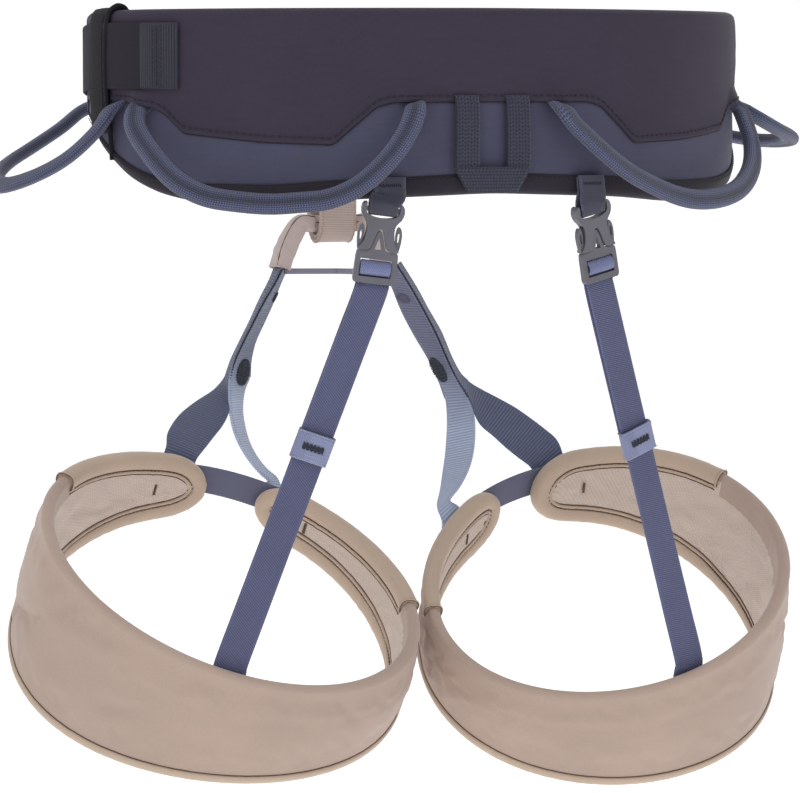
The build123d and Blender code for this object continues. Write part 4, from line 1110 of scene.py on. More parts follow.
def leg_pad(side):
    g = LEGS[side]
    ds = leg_degs(g, 1.8)
    rows = []
    nf = 21
    for d in ds:
        b, t = leg_lims(g, d)
        h = max(0.15, (t - b) / 2)
        m = (t + b) / 2
        arm = in_arm(g, d)
        r = min(3.4, h)
        # shallow horizontal creases where the foam layers end, puckers under the turned edge
        sec = []
        hs = (h - r)
        for k in range(nf):
            x = -1 + 2 * k / (nf - 1)
            z = m + x * hs
            p = leg_pt(g, d, z, 0)
            cr = 0.9 * (1 - x * x) * min(1, h / 18)
            w = 0.55 * nz(p[0] * 0.028, p[1] * 0.028, z * 0.09 + 7) + 0.22 * nz(p[0] * 0.10, p[1] * 0.10, z * 0.22)
            ridge = -0.45 * math.exp(-((x - 0.28 - 0.10 * nz(d * 0.05, 1.0, 2.0)) / 0.07) ** 2) * (0.5 + 0.5 * math.cos(math.radians(d))) 
            sec.append((z, cr + (w + ridge) * (1 - x ** 4) * min(1, h / 15) - 0.35))
        for a in (20, 45, 70, 90, 110, 135, 160):
            q = math.radians(a)
            sec.append((m + hs + r * math.sin(q), -LEG_T / 2 + 3.35 * math.cos(q) * (1 if a < 90 else 1)))
        puck = 0.0
        for k in range(nf):
            x = 1 - 2 * k / (nf - 1)
            z = m + x * hs
            top_d = (m + hs) - z
            pk = 0.0
            if arm < 0:
                s_arc = d * 1.55
                env = math.exp(-((top_d - 3.5) / 3.2) ** 2) * min(1, -arm / 12)
                pk = 0.62 * env * (math.sin(s_arc * 1.05 + 2.5 * nz(d * 0.11, 5.0, 1.0)) + 0.8 * nz(d * 0.45, z * 0.1, 9.0))
            cr = -0.7 * (1 - x * x) * min(1, h / 18)
            sec.append((z, -LEG_T + 0.35 + cr + pk + 0.18 * nz(d * 0.12, z * 0.12, 3.0)))
        for a in (200, 225, 250, 270, 290, 315, 340):
            q = math.radians(a)
            sec.append((m - hs + r * math.sin(q), -LEG_T / 2 + 3.35 * math.cos(q)))
        rows.append([leg_pt(g, d, z, o) for z, o in sec])
    dl = list(ds)

    def mat_of(i, j):
        # 0 outer cloth, 1 lining
        d = dl[min(i, len(dl) - 1)]
        first = nf + 7 + (3 if in_arm(g, d) < 0 else 0)
        return 1 if first <= j < 2 * nf + 7 - 1 else 0
    ob = grid("leg_pad_" + side, rows, [M["leg"], M["leg_in"]], False, True, mat_of=mat_of)
    return ob


def edge_frame(g, d, where):
    """Point on the middle of the pad's edge, direction out of the pad in its surface, and normal. where is +1 top, -1 bottom."""
    b, t = leg_lims(g, d)
    z = t if where > 0 else b
    p = leg_pt(g, d, z, -LEG_T / 2)
    e = 0.02
    b2, t2 = leg_lims(g, d + e)
    b0, t0 = leg_lims(g, d - e)
    q2 = leg_pt(g, d + e, t2 if where > 0 else b2, -LEG_T / 2)
    q0 = leg_pt(g, d - e, t0 if where > 0 else b0, -LEG_T / 2)
    T = unit(q2 - q0)
    n = leg_n(g, d)
    out = unit(np.cross(T, n))
    axis = g["m"] @ A([0, 0, 1.0])
    if np.dot(out, axis) * where < 0:
        out = -out
    return p, out, n


def rim_path(g, a_from, a_to):
    """Stations along the whole rim: top from the a0 join to the tip, bottom all the way, top back to the a1 join."""
    b_out, b_in = max(g["bind"]), min(g["bind"])
    a0, a1 = g["a0"], g["a1"]
    def dens(a, b, n):
        return list(np.linspace(a, b, n))
    tip0 = [REACH * (1 - math.cos(x)) for x in np.linspace(math.pi / 2, 0.07, 14)]
    tip1 = tip0[::-1]
    st = []
    st += [(d, 1) for d in dens(b_in, a0 + REACH + 0.5, 34)]
    st += [(a0 + x, 1) for x in tip0]
    st += [(a0 + x, -1) for x in tip1]
    st += [(d, -1) for d in dens(a0 + REACH + 0.5, a1 - REACH - 0.5, 190)]
    st += [(a1 - x, -1) for x in tip0]
    st += [(a1 - x, 1) for x in tip1]
    st += [(d, 1) for d in dens(a1 - REACH - 0.5, b_out, 34)]
    return st


def binding(side):
    g = LEGS[side]
    st = rim_path(g, 0, 0)
    F = []
    for d, w in st:
        p, out, n = edge_frame(g, d, w)
        F.append(np.concatenate([p, out, n]))
    F = A(F)
    # smooth frame directions round the tips
    for _ in range(5):
        F[1:-1] = 0.25 * F[:-2] + 0.5 * F[1:-1] + 0.25 * F[2:]
    rows, lines_in, lines_out, nin, nout, lip, lip2 = [], [], [], [], [], [], []
    L = np.concatenate([[0], np.cumsum(np.linalg.norm(np.diff(F[:, :3], axis=0), axis=1))])
    n_st = len(st)
    for i in range(n_st):
        p, out, n = F[i, :3], unit(F[i, 3:6]), unit(F[i, 6:9])
        d, w = st[i]
        arm = in_arm(g, d)
        # on the rear part's outer face the binding is slimmer
        k = min(1.0, max(0.0, arm / 10 + 0.5)) if w < 0 else 1.0
        ro = 3.4 + 1.8 * k          # reach on the outer face
        ri = 5.0 + 1.2 * k          # reach on the inner face
        wv = 0.16 * nz(L[i] * 0.25, 1.0, 4.0)
        pkb = 0.16 * nz(L[i] * 0.42, 8.0, 2.0) + 0.10 * nz(L[i] * 1.1, 2.0, 5.0)
        y0 = 3.75                   # half thickness of the roll
        bul = 0.55 + 0.15 * k
        sec = [(-ro, 3.05), (-ro + 0.25, y0 + 0.1), (-ro * 0.55, y0 + bul * 0.8), (-1.2, y0 + bul * 0.55)]
        for a in (66, 42, 18, 0, -18, -42, -66):
            q = math.radians(a)
            sec.append((-0.9 + 2.1 * math.cos(q), (y0 + 0.15) * math.sin(q)))
        sec += [(-1.2, -y0 - bul * 0.6), (-ri * 0.5, -y0 - bul), (-ri + 0.5, -y0 - bul * 0.6), (-ri, -y0 + 0.1), (-ri + 0.2, -2.6), (-1.8, -2.4), (-0.2, 0.0), (-1.8, 2.4), (-ro + 0.2, 2.5)]
        rows.append([p + out * (x + wv + (pkb if y < 0 else 0.0)) + n * (y - (pkb if y < -1 else 0.0)) for x, y in sec])
        lines_in.append(p + out * (-ri - 0.35 + wv) - n * (y0 - 0.25))
        lines_out.append(p + out * (-ro - 0.3 + wv) + n * (y0 - 0.30))
        k2 = min(1.0, max(0.0, arm / 8.0 + 0.2))
        lip.append(p + out * (-ri - 1.35 + wv * 1.5) - n * (y0 - 0.25 - 0.7 * (1 - k2)))
        lip2.append(p + out * (-ri - 2.5 + wv * 1.5) - n * (y0 - 0.15))
        nin.append(-n)
        nout.append(n)
    obs = [grid("bd", rows, M["bind"], False, True)]
    # li, lo and lip2 are thin dark tubes of painted shadow in the seams along the binding; lip is a raised lip of
    # binding cloth
    obs.append(tube("li", lines_in, [0.24 + 0.10 * nz(l * 0.4, 2.0, 8.0) for l in L], M["gap"], ns=6))
    obs.append(tube("lo", lines_out, [0.20 + 0.06 * nz(l * 0.4, 6.0, 8.0) for l in L], M["gap"], ns=6))
    obs.append(tube("lip", lip, [0.85 + 0.18 * nz(l * 0.5, 4.0, 8.0) for l in L], M["bind"], ns=8))
    obs.append(tube("lip2", lip2, [0.26 + 0.10 * nz(l * 0.4, 3.0, 8.0) for l in L], M["gap"], ns=6))
    obs.append(stitch_line("si", A(lines_in) + A(nin) * 0.25, nin, M["th_brown"], 2.1, 1.6, 0.26, 0.02, 0.35))
    # raised folded hems at the two joins, each with a thin dark tube of painted shadow beside it
    for i in (0, n_st - 1):
        r = rows[i]
        ctr = sum(r[:17]) / 17
        pp = [q + unit(q - ctr) * 0.25 for q in r[0:17]]
        obs.append(tube("hem", resample(A(pp), n=40), 0.5, M["bind"], ns=8))
        tdir = unit(F[1, :3] - F[0, :3]) if i == 0 else unit(F[-2, :3] - F[-1, :3])
        pp2 = [q + unit(q - ctr) * 0.12 - tdir * 0.55 for q in r[0:17]]
        obs.append(tube("hem2", resample(A(pp2), n=40), 0.17, M["gap"], ns=6))
    return join("leg_binding_roll_" + side, obs)


def tack(name, p, n, along, length, mat, width=1.6):
    P = [A(p) + unit(along) * x for x in np.linspace(-length / 2, length / 2, 9)]
    return stitch_line(name, P, [n] * 9, mat, max(0.5, length / 9), width, 0.24, 0.05, 0.1, cross=(0.1, 0.99))


def pad_free(g, j, i, nrow, ds):
    """1 in the middle of the faces, 0 round the rims and under the seams beside them."""
    nf = 21
    if j < nf:
        x, inner = j / (nf - 1), False
    elif nf + 7 <= j < 2 * nf + 7:
        x, inner = (j - nf - 7) / (nf - 1), True
    else:
        return 0.0
    d = ds[min(i, len(ds) - 1)]
    b, t = leg_lims(g, d)
    h = max(0.15, (t - b) / 2)
    r = min(3.4, h)
    reach = r + 2.0 * (h - r) * (0.5 - abs(x - 0.5))      # mm from the nearer edge
    k = min(1.0, max(0.0, in_arm(g, d) / 10 + 0.5))
    sewn = (8.8 if inner else 6.2) + 1.4 * k
    return min(1.0, min(i, nrow - 1 - i) / 8.0) * min(1.0, max(0.0, (reach - sewn) / 4.5))


for side, g in LEGS.items():
    pad = leg_pad(side)
    # sewn down along both edges; the rounded rims and the bound tips do not move
    nsec = 2 * 21 + 14
    nrow = len(pad.data.vertices) // nsec
    dsl = leg_degs(g, 1.8)
    puff(pad, lambda i: pad_free(g, i % nsec, i // nsec, nrow, dsl), 4.0, 0.0011, 0.025)
    own(pad, side + "_leg", ["leg_foam_" + side, "leg_shell_" + side, "leg_lining_" + side])
    bd = binding(side)
    own(bd, side + "_leg", ["leg_binding_" + side])
    # tacks that hold the bridge elastic inside the arms
    tk = []
    for d, dz in (((g["a0"] + 17.0), 0.5), ((g["a1"] - 17.0), 0.5)):
        b, t = leg_lims(g, d)
        z = b + (t - b) * dz
        n = -leg_n(g, d)
        tk.append(tack("tk", leg_pt(g, d, z, -LEG_T - 0.45), n, g["m"] @ A([0, 0, 1.0]), 5.0, M["th_brown"]))
    own(join("leg_tacks_" + side, tk), side + "_leg")
    a, b = g["bridge"]
    a, b = a - 6, b + 4
    C, W = [], []
    for i in range(12):
        d = a + (b - a) * i / 11
        zc = 0.62 * fz(g["zt"], d) + 0.38 * fz(g["zb"], d)
        over = (side == "left" and d < g["a1"] - 1) or (side == "right" and d > g["a0"] + 360 - 1) 
        C.append(leg_pt(g, d, zc, 1.2))
        W.append(g["m"] @ A([0, 0, 1.0]))
    br = sweep("leg_bridge_tape_" + side, C, W, 14.0, 1.3, M["bridge"], sub=4)
    own(br, side + "_leg", ["leg_bridge_" + side])

# ------------------------------------------------------------------ front webbing
# Edges of each ribbon, top to bottom: (far edge, near edge) as (x, y, z)
RIB = {
    "out_left": [((28.5, -128.0, -84.9), (31.0, -110.0, -84.5)), ((31.8, -127.5, -91.9), (35.1, -109.5, -91.9)), ((37.0, -126.5, -100.8), (40.5, -109.0, -100.2)), ((42.8, -125.0, -111.7), (47.0, -107.5, -110.9)), ((48.7, -123.0, -121.5), (53.0, -106.0, -121.2)), ((53.8, -121.0, -130.2), (57.6, -105.0, -130.4)), ((57.5, -118.5, -138.0), (60.3, -104.0, -140.8)), ((65.2, -114.0, -144.4), (61.1, -101.5, -147.5)), ((75.4, -108.0, -148.6), (62.2, -98.0, -153.6)), ((85.3, -101.0, -153.2), (66.6, -94.0, -159.9)), ((92.5, -94.0, -158.0), (73.2, -89.5, -165.7)), ((97.6, -87.5, -163.2), (79.4, -85.0, -171.0)), ((99.7, -82.2, -168.8), (84.4, -81.3, -175.3))],
    "in_left": [((23.0, -127.0, -85.5), (30.8, -109.6, -85.0)), ((26.6, -126.5, -92.9), (35.2, -109.0, -92.3)), ((30.9, -125.5, -102.4), (40.7, -108.5, -100.7)), ((36.1, -123.5, -111.7), (47.2, -107.0, -111.4)), ((41.5, -121.5, -121.5), (53.2, -105.5, -121.6)), ((44.6, -119.0, -130.8), (57.7, -104.5, -130.4)), ((45.7, -117.0, -138.7), (60.5, -103.0, -137.7)), ((49.0, -116.0, -145.5), (61.5, -101.0, -145.0)), ((50.8, -113.5, -155.3), (61.9, -98.0, -154.1)), ((50.5, -109.5, -164.5), (61.0, -94.5, -163.3)), ((49.4, -105.0, -171.7), (58.8, -91.0, -170.5)), ((47.7, -98.0, -178.0), (55.5, -86.0, -177.6)), ((45.2, -89.0, -183.2), (51.5, -80.8, -183.6)), ((42.3, -82.0, -186.6), (48.4, -79.2, -187.1))],
    "out_right": [((-38.5, -128.0, -83.1), (-30.4, -110.0, -83.6)), ((-46.8, -127.5, -96.0), (-37.7, -109.5, -95.1)), ((-53.2, -126.5, -107.8), (-44.4, -108.5, -107.0)), ((-59.5, -125.0, -119.2), (-50.8, -107.5, -119.3)), ((-64.0, -122.5, -131.4), (-55.9, -106.0, -131.5)), ((-68.0, -120.0, -140.1), (-60.8, -105.0, -141.8)), ((-71.5, -117.5, -144.3), (-65.6, -103.0, -149.9)), ((-76.8, -113.5, -148.0), (-67.8, -100.0, -157.4)), ((-84.2, -108.0, -152.3), (-70.2, -96.5, -164.5)), ((-91.3, -101.5, -156.9), (-75.5, -92.0, -170.1)), ((-96.9, -95.0, -161.7), (-81.1, -88.0, -176.1)), ((-102.3, -88.0, -167.1), (-86.3, -83.5, -181.1)), ((-106.6, -81.0, -172.7), (-91.4, -79.0, -186.0))],
    "in_right": [((-27.5, -126.0, -82.8), (-30.2, -109.6, -83.6)), ((-33.0, -125.5, -94.1), (-37.5, -109.0, -95.0)), ((-38.3, -124.5, -107.4), (-44.2, -108.0, -107.0)), ((-44.4, -122.5, -119.7), (-50.6, -107.0, -119.3)), ((-50.8, -120.0, -131.4), (-55.7, -105.5, -131.5)), ((-55.9, -117.5, -143.1), (-60.6, -104.0, -142.2)), ((-58.7, -115.5, -152.3), (-65.3, -102.0, -150.8)), ((-58.4, -112.5, -162.2), (-68.1, -99.5, -158.9)), ((-56.6, -108.5, -171.5), (-67.5, -96.0, -167.7)), ((-53.7, -103.0, -180.6), (-65.1, -91.5, -176.8)), ((-49.9, -96.5, -188.5), (-60.5, -86.0, -185.3)), ((-44.3, -85.0, -196.2), (-52.0, -77.0, -193.1)), ((-37.4, -71.0, -203.0), (-42.6, -67.0, -198.5))],
}
SLEEVE = {"left": [(17.6, TY, -62.4), (21.4, TY, -67.2), (24.6, TY, -73.2), (27.0, TY, -79.2), (28.6, TY + 0.3, -84.4)],
          "right": [(-17.6, TY, -62.4), (-20.6, TY, -67.2), (-22.8, TY, -73.2), (-24.6, TY, -79.2), (-26.0, TY + 0.3, -84.4)]}


def on_leg(g, deg, dz, off):
    return tuple(leg_pt(g, deg, fz(g["zt"], deg) + dz, off))


def leg_across(g, deg):
    return unit(leg_pt(g, deg + 2.0, 0.0, 0.0) - leg_pt(g, deg - 2.0, 0.0, 0.0))


# the ends are sewn flat on the outer faces of the loops' front arms
ON = {
    "out_left": ("left", [((167.0, -6, 3.3), (177.6, -10, 3.3)), ((163.5, -14, 3.0), (173.5, -19, 3.0))]),
    "in_left": ("left", [((205.5, -6, 4.2), (197.5, -7, 4.2)), ((206.5, -13, 3.2), (197.0, -14, 3.2))]),
    "out_right": ("right", [((-173.0, -7, 3.3), (-182.3, -15, 3.3)), ((-169.5, -15, 3.0), (-178.5, -23, 3.0))]),
    "in_right": ("right", [((139.5, -5, 4.4), (148.0, -5, 4.4)), ((138.5, -13, 3.2), (149.0, -13, 3.2))]),
}
VIEW = unit([0.34072, 0.93612, 0.08716])


def edge_tape(name, pairs, t, mat, sub=6, n=9, crown=0.5):
    """Flat tape given by its two edges."""
    D = smooth_rows(catmull(np.hstack([A([a for a, b in pairs]), A([b for a, b in pairs])]), sub), 2)
    mid = (D[:, :3] + D[:, 3:6]) / 2
    T = np.gradient(mid, axis=0)
    T /= np.linalg.norm(T, axis=1)[:, None]
    W = D[:, 3:6] - D[:, :3]
    wl = np.linalg.norm(W, axis=1)
    W /= wl[:, None]
    Nn = np.cross(T, W)
    Nn /= np.linalg.norm(Nn, axis=1)[:, None]
    L = np.concatenate([[0], np.cumsum(np.linalg.norm(np.diff(mid, axis=0), axis=1))])
    P, V = [], []
    for i in range(len(D)):
        pr = tape_profile(wl[i], t, n, 0.0)
        P.append([mid[i] + W[i] * x + Nn[i] * (y + crown * (1 - (2 * x / wl[i]) ** 2) * 0.5) for x, y, _ in pr])
        V.append([vv * 21.0 / wl[i] for _, _, vv in pr] + [pr[0][2] * 21.0 / wl[i]])
    U = np.repeat(L[:, None], len(V[0]), 1)
    return grid(name, P, mat, False, True, U=U, V=A(V)), mid, T, W, Nn, wl


def oval(mid, T, W, Nn, wl, i, off, hl, hw, mat):
    """Oval bartack: short rows of stitches across a patch that is off from the middle of the tape."""
    out = []
    for sg in (1, -1):
        c0 = mid[i] + W[i] * off
        m = max(3, int(hw * 2 / 0.8))
        for k in range(m):
            x = -hw + 2 * hw * (k + 0.5) / m
            h = hl * math.sqrt(max(0.05, 1 - (x / hw) ** 2))
            P = [c0 + T[i] * q + W[i] * x + Nn[i] * sg * 1.05 for q in np.linspace(-h, h, 12)]
            out.append(stitch_line("ov", P, [Nn[i] * sg] * 12, mat, 0.8, 1.3, 0.34, 0.1, 0.25, cross=(0.25, 0.97)))
    return out


for side in ("left", "right"):
    g = LEGS[side]
    s = g["s"]
    tails = {}
    for key in ("out_" + side, "in_" + side):
        rows_ = list(RIB[key]) + [tuple(on_leg(g, *q) for q in pq) for pq in ON[key][1]]
        tails[key] = rows_
    od = edge_tape("leg_webbing_out_" + side, tails["out_" + side], 1.4, M["web_dark"])
    own(od[0], side + "_leg", ["leg_webbing_outer_" + side])
    idt = edge_tape("in0", tails["in_" + side], 1.4, M["web_light"] if side == "left" else M["web_right"])
    ob0, mid, T, W, Nn, wl = idt
    ex = []
    if side == "left":
        ex += oval(mid, T, W, Nn, wl, 34, -1.5, 6.6, 6.2, M["th_blue"])
        ex += oval(mid, T, W, Nn, wl, 10, -6.5, 2.6, 2.2, M["th_blue"])
    else:
        ex += oval(mid, T, W, Nn, wl, 27, -2.6, 6.6, 5.2, M["th_blue"])
        ex += oval(mid, T, W, Nn, wl, 9, -2.0, 2.4, 5.0, M["th_lilac"])
    # light dotted selvedges
    for sg in (1, -1):
        e = mid + W * ((wl / 2)[:, None] - 0.5) * sg
        for fc in (1, -1):
            ex.append(stitch_line("sv", e + Nn * fc * 0.62, Nn * fc, M["th_pale"], 1.25, 0.8, 0.26, 0.0, 0.02))
    own(join("leg_webbing_in_" + side, [ob0] + ex), side + "_leg", ["leg_webbing_inner_" + side])
    # the seam that holds the two plies together on their way down from the tie-in point
    near = [((A(a[1]) + A(b[1])) / 2) for a, b in zip(RIB["out_" + side][:7], RIB["in_" + side][:7])]
    C = catmull(near, 7)
    # pe is a dark tube of painted shadow in the gap between the plies' near edges; ps is the row of stitches
    se = [tube("pe", C + A([0, 0.25, 0]), list(np.interp(np.arange(len(C)), [0, len(C) * 0.7, len(C) - 1], [0.45, 0.4, 0.12])), M["gapd"], ns=8)]
    se.append(stitch_line("ps", C + A([0, 0.45, 0]), [VIEW] * len(C), M["th_blue"], 1.5, 1.2, 0.4, 0.05, 0.1, cross=(0.8, 0.6)))
    for a, m_ in ((RIB["out_" + side][:7], 1), (RIB["in_" + side][:7], -1)):
        Cf = catmull([q[0] for q in a], 6)
        se.append(tube("pf", Cf, 0.7, M["web_up"], ns=8))
    own(join("leg_webbing_seam_" + side, se), side + "_leg", ["leg_webbing_upper_" + side])

    # sleeve that protects the tie-in point
    S = SLEEVE[side]
    S0 = [(10.8 * s, TY, -62.4)] + list(S)
    T0 = [4.9, 5.2, 5.6, 5.7, 5.4, 4.6]
    W0 = [4.6, 5.8, 7.2, 8.4, 9.2, 9.6]
    D = catmull(np.hstack([A(S0), A(T0)[:, None], A(W0)[:, None]]), 8)
    T, Wd, Nn = frames(D[:, :3], A([(0, 1, 0)] * len(D)))
    rows, seam = [], []
    Ls = np.concatenate([[0], np.cumsum(np.linalg.norm(np.diff(D[:, :3], axis=0), axis=1))])
    for i in range(len(D)):
        sec = []
        for q in range(28):
            th = 2 * math.pi * q / 28
            c, sn = math.cos(th), math.sin(th)
            fold = 0.45 * nz(Ls[i] * 0.28, q * 0.5 if q < 14 else (28 - q) * 0.5, 3.0 + s) 
            x = math.copysign(abs(c) ** 0.8, c) * (D[i, 4] + fold)
            y = math.copysign(abs(sn) ** 0.8, sn) * (D[i, 3] * 0.86 + fold)
            sec.append(D[i, :3] + Wd[i] * x + Nn[i] * y)
        rows.append(sec)
        seam.append(D[i, :3] + Wd[i] * (D[i, 4] * 0.62) + Nn[i] * (-1 if True else 1) * 0.72 * D[i, 3] * (1 if np.dot(Nn[i], (s, 0, 0.6)) < 0 else -1))
    sl = [grid("sl0", rows, M["sleeve"], False, True)]
    sl.append(tube("sl1", seam, 0.34, M["th_brown"], ns=6))
    sl.append(tube("sl2", [rows[-1][q] for q in range(28)] + [rows[-1][0]], 0.55, M["sleeve"], ns=8))
    slv = join("tie_in_sleeve_cloth_" + side, sl)
    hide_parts("tie_in_sleeve_" + side)
    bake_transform(slv)

    x1 = 27.4 if s > 0 else -24.6
    xs = np.linspace(0.0, x1, 9)
    sp = sweep("spacer_tape_" + side, [(x, -116.0, -86.4 + (0.4 if s > 0 else -0.9) * (abs(x) / 26.0)) for x in xs], [(0, 0, 1)] * 9, 2.9, 1.2, M["spacer"], sub=2)
    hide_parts("spacer_elastic_" + side)
    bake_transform(sp)

# ------------------------------------------------------------------ risers
TAB_DEG = 18.0


def buckle_frame(s):
    n = bn(s * TAB_DEG)
    o = bp(s * TAB_DEG, 0.0, 0.0)
    o = A([o[0] + n[0] * 4.0 + (3.5 if s > 0 else 2.8), o[1] + n[1] * 4.0, -47.3 if s > 0 else -48.4])
    down = unit([0.101, -0.12, -0.985] if s > 0 else [-0.205, -0.12, -0.97])
    n = unit(n - down * np.dot(n, down))
    ac = np.cross(down, n)
    return o, ac, down, n


def bpt(fr, u, v, w):
    o, ac, dn, n = fr
    return o + ac * u + dn * v + n * w


for side, g in LEGS.items():
    s = g["s"]
    fr = buckle_frame(s)
    o, ac, dn, n = fr
    for nd in ("riser_buckle_female_", "riser_buckle_male_", "riser_buckle_arm_inner_", "riser_buckle_arm_outer_"):
        finish_cad(nd + side, M["plastic"], 0.42)
    # tab: front ply, round the bar, back ply
    at = s * TAB_DEG + (0.0 if s > 0 else 0.8)
    nb = bn(at)
    pt = lambda z, k: bp(at, z, 0) + nb * k
    P = [pt(-32.8, 2.6), pt(-34.6, 3.1), pt(-37.6, 3.6), pt(-40.8, 4.4), bpt(fr, 0, -3.6, 2.2), bpt(fr, 0, -1.2, 2.25), bpt(fr, 0, 0.8, 1.9), bpt(fr, 0, 1.75, 0.9), bpt(fr, 0, 1.95, 0.0), bpt(fr, 0, 1.75, -0.9),
         bpt(fr, 0, 0.8, -1.9), bpt(fr, 0, -1.2, -2.2), bpt(fr, 0, -3.6, -2.0), pt(-40.5, 1.9), pt(-37.0, 1.5), pt(-33.4, 1.3)]
    W = [bt_dir(at)] * 4 + [-ac if np.dot(ac, bt_dir(s * TAB_DEG)) < 0 else ac] * 9 + [bt_dir(at)] * 3
    ww = [14.0, 14.0, 13.9, 13.7, 13.2, 12.9, 12.8, 12.8, 12.8, 12.8, 12.8, 12.9, 13.2, 13.7, 13.9, 14.0]
    tb = sweep("t0", P, W, ww, 1.15, M["tab"], sub=5, n=9)
    bk = []
    for q in range(4):
        z = -36.2 - q * 0.75
        xx = np.linspace(-4.6, 4.6, 12)
        bk.append(stitch_line("bk", [pt(z, 3.75) + bt_dir(at) * x for x in xx], [nb] * 12, M["th_dark"], 0.9, 1.5, 0.28, 0.1, 0.12, cross=(0.55, 0.83)))
    tj = join("riser_tab_tape_" + side, [tb] + bk)
    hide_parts("riser_tab_" + side)
    tuple(pt(-37.2, 3.0) * MM)
    tuple(A(bpt(fr, 0, -3.0, 0.0)) * MM)
    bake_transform(tj)

    # elastic riser: over the buckle's middle bar, down to the inside of the leg loop
    b, t = leg_lims(g, g["riser_psi"])
    low = leg_pt(g, g["riser_psi"], t + 3.0, -LEG_T - 2.6)
    endp = leg_pt(g, g["riser_psi"], t - 13.0, -LEG_T - 2.0)
    top = bpt(fr, 0, 36.0, -1.2)
    wl = leg_across(g, g["riser_psi"])
    if np.dot(wl, ac) < 0:
        wl = -wl
    main, mw = [], []
    for v, w in ((24.2, -2.0), (23.3, -0.4), (23.6, 1.0), (24.6, 2.1), (26.2, 2.6), (27.8, 2.0), (28.7, 0.6), (29.3, -0.9), (30.4, -1.9), (32.5, -2.2)):
        main.append(bpt(fr, 0, v, w))
        mw.append(ac)
    for k in np.linspace(0.0, 1.0, 9):
        c = top * (1 - k) + low * k
        bow = -2.0 * math.sin(math.pi * k) * (1 - k)
        main.append(c + n * bow * 0.3)
        mw.append(unit(ac * (1 - k ** 2) + wl * k ** 2))
    main += [leg_pt(g, g["riser_psi"], t - 3.0, -LEG_T - 2.0), endp]
    mw += [wl, wl]
    wid = [13.8] * 9 + [14.2] + [14.8] + [15.0] * 5 + [15.2, 15.4, 15.6] + [15.9, 16.0]
    D = np.hstack([A(main), A(mw), A(wid)[:, None]])
    D = catmull(D, 5)
    cut = 9 * 5
    rs = sweep("rs0", D[:cut + 1, :3], D[:cut + 1, 3:6], D[:cut + 1, 6], 1.2, M["riser_lt"], pre=True, n=9)
    rm = sweep("rs1", D[cut:, :3], D[cut:, 3:6], D[cut:, 6], 1.3, M["riser"], pre=True, n=9)
    # returned tail behind, down to the keeper
    d = unit(low - top)
    tail = [bpt(fr, 0, 24.2, -2.0), bpt(fr, 0, 25.6, -3.4), bpt(fr, 0, 29.0, -3.9)] + [top - n * 1.9 + d * x for x in (2, 20, 40, 60, 76, 80)]
    rt = sweep("rs2", tail, [ac] * len(tail), [14.0, 14.2, 14.6, 15.2, 15.4, 15.4, 15.4, 15.4, 15.4], 1.2, M["riser"], sub=5, n=9)
    rj = join("riser_elastic_" + side, [rs, rm, rt])
    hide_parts("riser_strap_" + side)
    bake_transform(rj)

    # keeper loop with its bartack
    d = unit(low - A(bpt(fr, 0, 36.0, 0)))
    kd = 76.5 if s > 0 else 79.0
    kc = bpt(fr, 0, 36.0, 0) + d * kd
    wd = unit(ac - d * np.dot(ac, d))
    nzv = unit(np.cross(d, wd))
    if np.dot(nzv, n) < 0:
        nzv = -nzv
    rows = []
    for i in range(9):
        x = -1 + 2 * i / 8
        sec = []
        e = 1.0 if abs(x) < 0.95 else 0.93
        for q in range(32):
            th = 2 * math.pi * q / 32
            c, sn = math.cos(th), math.sin(th)
            xx = math.copysign(abs(c) ** 0.35, c) * 8.7
            yy = math.copysign(abs(sn) ** 0.5, sn) * 2.5 * e
            sec.append(kc + wd * xx + nzv * (yy - 0.3) + d * x * 6.8)
        rows.append(sec)
    inner = []
    for i in range(9):
        x = -1 + 2 * i / 8
        sec = []
        for q in range(32):
            th = 2 * math.pi * q / 32
            c, sn = math.cos(th), math.sin(th)
            xx = math.copysign(abs(c) ** 0.35, c) * 8.15
            yy = math.copysign(abs(sn) ** 0.5, sn) * 1.55
            sec.append(kc + wd * xx + nzv * (yy - 0.3) + d * x * 6.8)
        inner.append(sec)
    R = np.concatenate([A(rows), A(inner)[::-1]], 0)
    # u along the strap, v across it, so the weave runs straight
    uu = np.array([(-1 + 2 * i / 8) * 6.8 for i in range(9)])
    kp = grid("kp0", R, M["keep_lt"], True, True)
    bt = []
    for q in range(4):
        xx = np.linspace(-4.6, 4.6, 12)
        bt.append(stitch_line("kb", [kc + wd * x + nzv * 2.35 + d * (1.0 - q * 0.75) for x in xx], [nzv] * 12, M["th_blue"], 0.9, 1.5, 0.28, 0.1, 0.12, cross=(0.55, 0.83)))
    for e in (-6.3, 6.3):
        xx = np.linspace(-8.05, 8.05, 24)
        for sg in (1, -1):
            bt.append(stitch_line("ke", [kc + wd * x + nzv * (2.15 * sg - 0.3) + d * e for x in xx], [nzv * sg] * 24, M["th_pale"], 0.9, 1.0, 0.36, 0.0, 0.08, cross=(0.8, 0.6)))
    own(join("riser_keeper_tape_" + side, [kp] + bt), side + "_riser_keeper", ["riser_keeper_" + side])

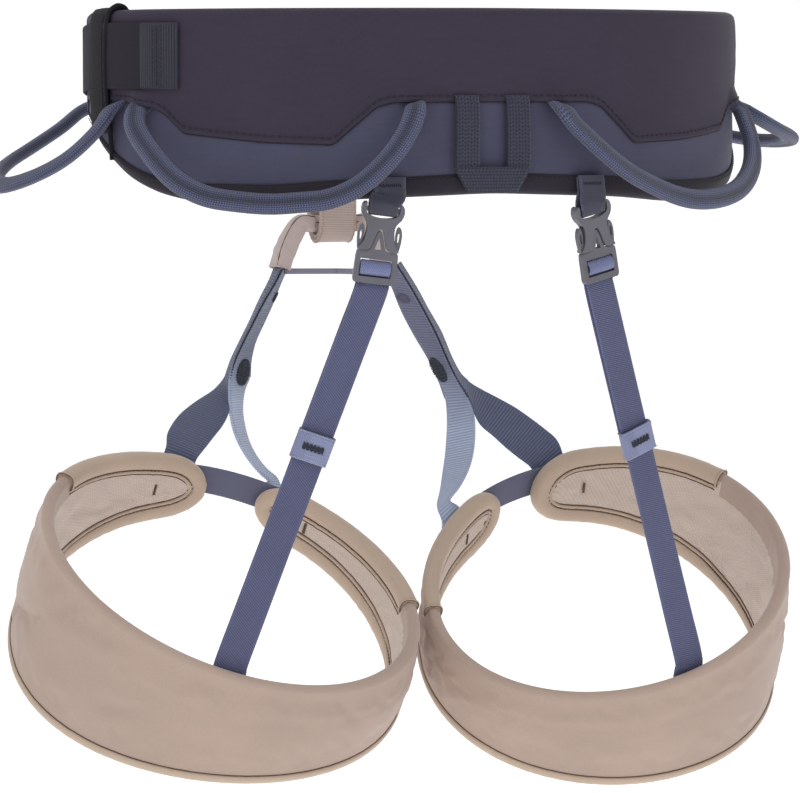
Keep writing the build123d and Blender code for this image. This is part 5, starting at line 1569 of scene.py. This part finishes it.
# ------------------------------------------------------------------ stage, light, camera
me = bpy.data.meshes.new("floor")
fz0 = -0.42
prof = [(-4.0, fz0), (2.2, fz0)]
verts, faces = [], []
cam_dir = unit([0.34072, 0.93612, 0.0])
side_dir = A([-cam_dir[1], cam_dir[0], 0])
line = [(12.0, fz0)] + [(-8.0 - 3.0 * math.sin(a), fz0 + 3.0 * (1 - math.cos(a))) for a in np.linspace(0, math.pi / 2, 24)] + [(-11.0, 12.0)]
for a, z in line:
    for b in (-14.0, 14.0):
        p = cam_dir * a + side_dir * b
        verts.append((p[0], p[1], z))
for i in range(len(line) - 1):
    faces.append((2 * i, 2 * i + 1, 2 * i + 3, 2 * i + 2))
me.from_pydata(verts, [], faces)
fl = bpy.data.objects.new("floor", me)
bpy.context.scene.collection.objects.link(fl)
gf = Graph("Studio sweep")
_, _, ob_, _ = gf.coords(False)
nf_ = gf.noise(ob_, 3.0, 2.0)
gf.b.inputs["Emission Color"].default_value = (1.0, 1.0, 1.0, 1.0)
gf.b.inputs["Emission Strength"].default_value = 0.48
me.materials.append(gf.done(gf.mix(nf_, (0.93, 0.93, 0.93, 1), (0.95, 0.95, 0.95, 1)), 0.9, spec=0.1))
for p in me.polygons:
    p.use_smooth = True

wd = bpy.data.worlds.new("studio")
bpy.context.scene.world = wd
wd.use_nodes = True
wd.node_tree.nodes["Background"].inputs[0].default_value = (1.0, 1.0, 1.0, 1.0)
wd.node_tree.nodes["Background"].inputs[1].default_value = 0.42


def area(name, loc, target, size, power):
    L = bpy.data.lights.new(name, "AREA")
    L.energy = power
    L.size = size
    o = bpy.data.objects.new(name, L)
    bpy.context.scene.collection.objects.link(o)
    o.location = loc
    o.rotation_euler = (Vector(target) - Vector(loc)).to_track_quat("-Z", "Y").to_euler()
    return o


T0 = Vector((0.006874, -0.00323, -0.140299))
back = Vector((0.34072, 0.93612, 0.08716)).normalized()
right = Vector((-0.93969, 0.34202, 0.0))
area("key", T0 + back * 1.5 - right * 1.1 + Vector((0, 0, 1.5)), T0, 1.3, 12.5)
area("fill", T0 + back * 1.4 + right * 1.4 + Vector((0, 0, 0.5)), T0, 1.6, 5.0)
area("top", T0 + Vector((0, 0, 1.9)), T0, 1.6, 8.5)

cam = bpy.data.cameras.new("cam")
cam.sensor_width = 36.0
cam.sensor_fit = "HORIZONTAL"
cam.lens = 170.1
cam.clip_start = 0.05
cam.clip_end = 50
co = bpy.data.objects.new("camera", cam)
bpy.context.scene.collection.objects.link(co)
co.location = T0 + back * 1.8
co.rotation_euler = (-back).to_track_quat("-Z", "Y").to_euler()
bpy.context.scene.camera = co
bpy.context.scene.view_settings.view_transform = "Standard"
